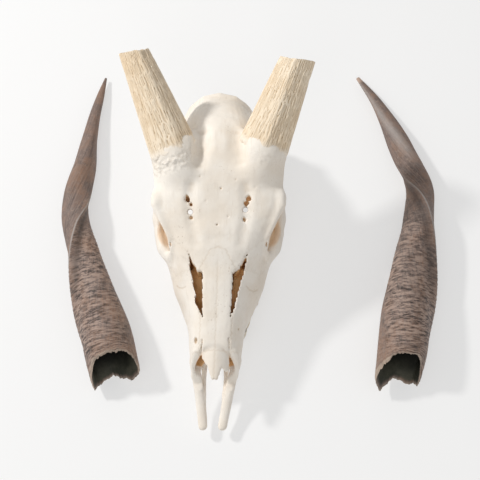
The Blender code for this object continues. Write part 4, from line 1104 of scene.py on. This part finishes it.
def sheath_relief(noise, left, U, turn, width):
    """Rings on the face beside the keel, fine strands and low lumps on the outside, with their marks."""
    # the broad face on one side of the keel is ringed, the other one nearly smooth
    beside = turn * (1 if left else -1)
    ringed = 0.25 + 0.75 * smooth(-0.25, 0.15, np.sin(beside))
    shape = np.stack([np.cos(turn) * 3, np.sin(turn) * 3, U * 24], -1).reshape(-1, 3)

    def read(points, scale):
        return noise.at(points, scale).reshape(U.shape)

    wobble, slow = read(shape, 1.6), read(shape * (0.4, 0.4, 0.5) + 3, 1.8)
    beat = U * 84 + 1.3 * slow + 0.16 * wobble + 0.9 * np.cos(turn)
    own = read(np.stack([beat * 0.9, beat * 0 + 7, beat * 0], -1).reshape(-1, 3), 1.0)
    fine = 0.5 + 0.5 * np.sin(2 * math.pi * (beat * 2.3 + 0.5 * wobble))
    ring = 0.5 + 0.5 * np.sin(2 * math.pi * (beat + 0.45 * own))
    ring = np.clip(0.5 + (0.6 * ring + 0.4 * fine - 0.5) * (1.2 + 0.9 * own), 0, 1)
    fade = ringed * smooth(0.60, 0.30, U) * (0.75 + 0.25 * read(shape + 9, 2.4))
    streak = wrapped(noise, turn, 12, U * 7, 0.8)
    lump = noise.layers(shape * (1, 1, 0.6) + 31, 2.2, 2).reshape(U.shape)
    raised = np.minimum(1, width / 14) * (0.62 * fade * (ring - 0.5) + 0.16 * streak + 0.28 * lump
                                          - 0.2 * smooth(0.5, 0.9, streak))
    marks = {"ring": 0.4 + fade * (ring - 0.4), "ringed": fade, "rim": smooth(0.020, 0.0, U + 0.010 * lump),
             "keel": np.exp(-(turn / 0.075)**2) * smooth(0.72, 0.55, U),
             "tip": left * smooth(0.972, 0.99, U),
             # worn: painted highlight together with wear, on the left sheath's upper face
             "worn": left * np.exp(-((turn + 1.8) / 0.5)**2) * smooth(0.60, 0.74, U),
             # shade: painted shade and shadow on the face beside the keel
             "shade": np.exp(-((beside - 0.42) / 0.30)**2) * smooth(0.14, 0.34, U) * smooth(0.75, 0.55, U)}
    return raised - 1.2 * smooth(0.010, 0, U), marks


def sheath_pieces(look):
    """Hollow horns: an outer and an inner tube that meet at the broken mouth, and a keel that winds."""
    material = horn_finish(look)
    outer_rings, inner_rings, sides = 420, 130, 144
    depth, wall = 0.62, 3.0
    angle = np.linspace(0, 2 * math.pi, sides, endpoint=False)
    for side, rows in SHEATHS.items():
        left = side == "left"
        noise = Noise(51 if left else 57)
        keyed, runs = sheath_path(rows, outer_rings, inner_rings, depth)
        edge = np.interp(np.degrees(angle), *RIMS[side], period=360)
        for size, scale, amount in ((5, 2.0, 1.5), (9, 0.7, 0.9), (15, 0.6, 0.5)):
            edge = edge + amount * wrapped(noise, angle, size, 0, scale)
        parts, marks = [], []
        for part, u, row_share in runs:
            stations = curve(keyed, row_share)
            path = stations[:, [1, 0, 2]]
            forward = 1 if part == "outside" else -1
            _, level, upright = (v[::forward] for v in frame_along(path[::forward]))
            U, A = np.meshgrid(u, angle, indexing="ij")
            width, keel = stations[:, 3][:, None], np.radians(stations[:, 4])[:, None]
            turn = np.arctan2(np.sin(A - keel), np.cos(A - keel))
            beside = turn * (1 if left else -1)
            form = (0.96 + 0.045 * np.cos(3 * turn) + 0.12 * np.exp(-(turn / 0.34)**2)
                    + 0.055 * np.exp(-(turn / 0.12)**2)
                    - 0.07 * np.exp(-((beside - 0.55) / 0.35)**2)
                    * smooth(0.05, 0.25, U) * smooth(0.9, 0.6, U))
            radius = width / 2 * form
            # the sine and cosine of the way round from the keel, so that no mark jumps behind it
            mark = {"along": U, "side": -np.sin(turn), "front": -np.cos(turn)}
            for key in ("ring", "ringed", "rim", "keel", "inside", "tip", "worn", "shade"):
                mark[key] = U * 0
            if part == "outside":
                raised, relief = sheath_relief(noise, left, U, turn, width)
                radius = radius + raised
                mark.update(relief)
            else:
                radius = radius * 0.985 - wall * (1 - 0.25 * U) * smooth(-0.02, 0.05, U + 0.006) - 0.15
                mark.update(ring=U * 0 + 0.4, rim=smooth(0.012, 0.0, U), inside=smooth(0.004, 0.012, U))
            marks.append(mark)
            points = swept(path, level, upright, A, radius)
            near = np.maximum(1 - row_share / RIM_REACH, 0)[:, None]**2
            points[..., 1] += (stations[:, :1] + edge[None] - points[..., 1]) * near
            parts.append(points.reshape(-1, 3))
        rings = inner_rings + outer_rings
        points, faces = capped(np.vstack(parts), tube_faces(rings, sides), rings, sides)
        inside, outside = marks
        marks = {k: np.concatenate([inside[k].ravel(), outside[k].ravel(), inside[k].flat[:1],
                                    outside[k].flat[-1:]]) for k in inside}
        points[:, 2] -= points[:, 2].min()
        make_piece(f"horn_sheath_{side}_shell", to_frame(points, SHEATH_AT), turned_out(points, faces),
                   material, marks, (f"horn_sheath_{side}",))


# Stage
def paper_finish(brightness, glow):
    s = Shader("pale_floor", 0.9)
    s.main.inputs["Specular IOR Level"].default_value = 0.0
    s.main.inputs["Emission Color"].default_value = (1.0, 1.0, 1.0, 1.0)
    s.main.inputs["Emission Strength"].default_value = glow
    tone = s.noise(3.0, 2)
    colour = s.mix(tone, (brightness,) * 3, (brightness * 0.99,) * 3)
    return s.finish(colour)


def area_light(name, at, target, size, watts, colour=(1, 1, 1)):
    data = bpy.data.lights.new(name, "AREA")
    data.shape, data.size, data.energy, data.color = "DISK", size, watts, colour
    obj = bpy.data.objects.new(name, data)
    obj.location = at
    obj.rotation_euler = (Vector(target) - Vector(at)).to_track_quat("-Z", "Y").to_euler()
    bpy.context.scene.collection.objects.link(obj)


def stage(look):
    scene = bpy.context.scene
    bm = bmesh.new()
    bmesh.ops.create_grid(bm, x_segments=8, y_segments=8, size=3.0)
    mesh = bpy.data.meshes.new("floor")
    bm.to_mesh(mesh)
    bm.free()
    mesh.materials.append(paper_finish(look.floor, look.glow))
    floor = bpy.data.objects.new("floor", mesh)
    scene.collection.objects.link(floor)

    world = scene.world or bpy.data.worlds.new("studio")
    scene.world = world
    world.use_nodes = True
    sky = world.node_tree.nodes["Background"]
    sky.inputs["Color"].default_value = (1.0, 0.995, 0.985, 1)
    sky.inputs["Strength"].default_value = look.fill
    area_light("key", (-0.95, 0.45, 1.0), (0.0, 0.02, 0.05), 0.14, look.key, (1.0, 0.985, 0.96))
    area_light("front", (-0.25, -0.9, 1.1), (0, 0, 0.03), 0.7, look.key * 0.2)

    tilt, distance = math.radians(look.tilt), look.distance
    data = bpy.data.cameras.new("camera")
    data.sensor_width = SENSOR
    data.lens = (distance / PIXEL) / PICTURE * SENSOR
    data.clip_start, data.clip_end = 0.05, 20
    camera = bpy.data.objects.new("camera", data)
    camera.location = (SHEATH_AT[0] * MM, SHEATH_AT[1] * MM - distance * math.cos(tilt),
                       50 * MM + distance * math.sin(tilt))
    camera.rotation_euler = (math.pi / 2 - tilt, 0, 0)
    scene.collection.objects.link(camera)
    scene.camera = camera
    scene.view_settings.view_transform = "Standard"
    scene.view_settings.look = "None"
    scene.view_settings.exposure = look.exposure


# The add-on
def colour_of(name, note, value):
    return bpy.props.FloatVectorProperty(name=name, description=note, default=value, subtype="COLOR", size=3,
                                         min=0.0, max=1.0)


class BushbuckLook(bpy.types.PropertyGroup):
    """Sizes, colours and light that a user may change"""
    grid: bpy.props.FloatProperty(name="Grid", description="Spacing of the skull's surface", unit="LENGTH",
                                  default=0.00064, min=0.0004, max=0.003)
    bone_pale: colour_of("Pale bone", "Cleanest bone", (0.93, 0.875, 0.80))
    bone_warm: colour_of("Warm bone", "Yellowed bone", (0.87, 0.79, 0.69))
    bone_grey: colour_of("Grey bone", "Weathered patches", (0.76, 0.70, 0.63))
    # tan for the seams and the burr, and painted shade in the creases
    stain_and_crease_shade: colour_of("Crease stain", "Tan in creases", (0.56, 0.42, 0.27))
    inside: colour_of("Inside", "Orange-brown inner bone", (0.86, 0.50, 0.19))
    inside_dark: colour_of("Dark inside", "Deepest inner bone", (0.62, 0.33, 0.11))
    core_pale: colour_of("Pale core", "Clean horn core", (0.93, 0.80, 0.63))
    core_warm: colour_of("Warm core", "Yellow of a horn core", (0.86, 0.70, 0.51))
    horn_dark: colour_of("Dark horn", "Darkest strands", (0.090, 0.068, 0.060))
    horn_brown: colour_of("Brown horn", "Main horn colour", (0.215, 0.148, 0.122))
    horn_rust: colour_of("Rusty horn", "Orange-brown streaks", (0.33, 0.19, 0.12))
    horn_grey: colour_of("Grey horn", "Weathered grey", (0.27, 0.225, 0.205))
    floor: bpy.props.FloatProperty(name="Floor", description="Paleness of the floor", default=0.42,
                                   min=0.0, max=1.0, subtype="FACTOR")
    glow: bpy.props.FloatProperty(name="Floor glow", description="Light that the floor panel gives off",
                                  default=0.52, min=0.0, max=5.0)
    fill: bpy.props.FloatProperty(name="Fill", description="Strength of the even light", default=0.45,
                                  min=0.0, max=5.0)
    key: bpy.props.FloatProperty(name="Key", description="Power of the main light in watts", default=12.0,
                                 min=0.0, max=500.0)
    exposure: bpy.props.FloatProperty(name="Exposure", description="Brightness in stops", default=0.0,
                                      min=-4.0, max=4.0)
    tilt: bpy.props.FloatProperty(name="Camera height", description="Degrees above the floor", default=68.0,
                                  min=5.0, max=89.0)
    distance: bpy.props.FloatProperty(name="Camera distance", description="From the middle of the set",
                                      default=0.76, unit="LENGTH", min=0.2, max=5.0)


def piece_operator(idname, label, note, build):
    """Operator class for one group of pieces."""
    def execute(self, context):
        build(context.scene.bushbuck)
        return {"FINISHED"}

    return type("SKULL_OT_" + idname, (bpy.types.Operator,), {
        "bl_idname": "skull." + idname, "bl_label": label, "__doc__": note,
        "bl_options": {"REGISTER", "UNDO"}, "execute": execute})


OPERATORS = [
    piece_operator("bones", "Skull Bones", "Build every bone of the skull along its seams",
                   skull_pieces),
    piece_operator("teeth", "Cheek Teeth", "Build the cheek teeth of both sides", tooth_pieces),
    piece_operator("cores", "Horn Cores", "Build the two bare, cut horn cores", core_pieces),
    piece_operator("sheaths", "Horn Sheaths", "Build the two loose hollow horns", sheath_pieces),
    piece_operator("stage", "Floor, Lights and Camera", "Set the pale floor, soft lights and camera", stage),
]


class SKULL_PT_panel(bpy.types.Panel):
    """Lists the skull set's builders"""
    bl_label = "Bushbuck Skull"
    bl_idname = "SKULL_PT_panel"
    bl_space_type = "VIEW_3D"
    bl_region_type = "UI"
    bl_category = "Skull"

    def draw(self, context):
        for key in BushbuckLook.__annotations__:
            self.layout.prop(context.scene.bushbuck, key)
        for operator in OPERATORS:
            self.layout.operator(operator.bl_idname)


def register():
    bpy.utils.register_class(BushbuckLook)
    bpy.types.Scene.bushbuck = bpy.props.PointerProperty(type=BushbuckLook)
    for cls in OPERATORS:
        bpy.utils.register_class(cls)
    bpy.utils.register_class(SKULL_PT_panel)


def unregister():
    bpy.utils.unregister_class(SKULL_PT_panel)
    for cls in reversed(OPERATORS):
        bpy.utils.unregister_class(cls)
    del bpy.types.Scene.bushbuck
    bpy.utils.unregister_class(BushbuckLook)


def main():
    register()
    bpy.ops.skull.bones()
    bpy.ops.skull.teeth()
    bpy.ops.skull.cores()
    bpy.ops.skull.sheaths()
    bpy.ops.skull.stage()


if __name__ == "__main__":
    main()
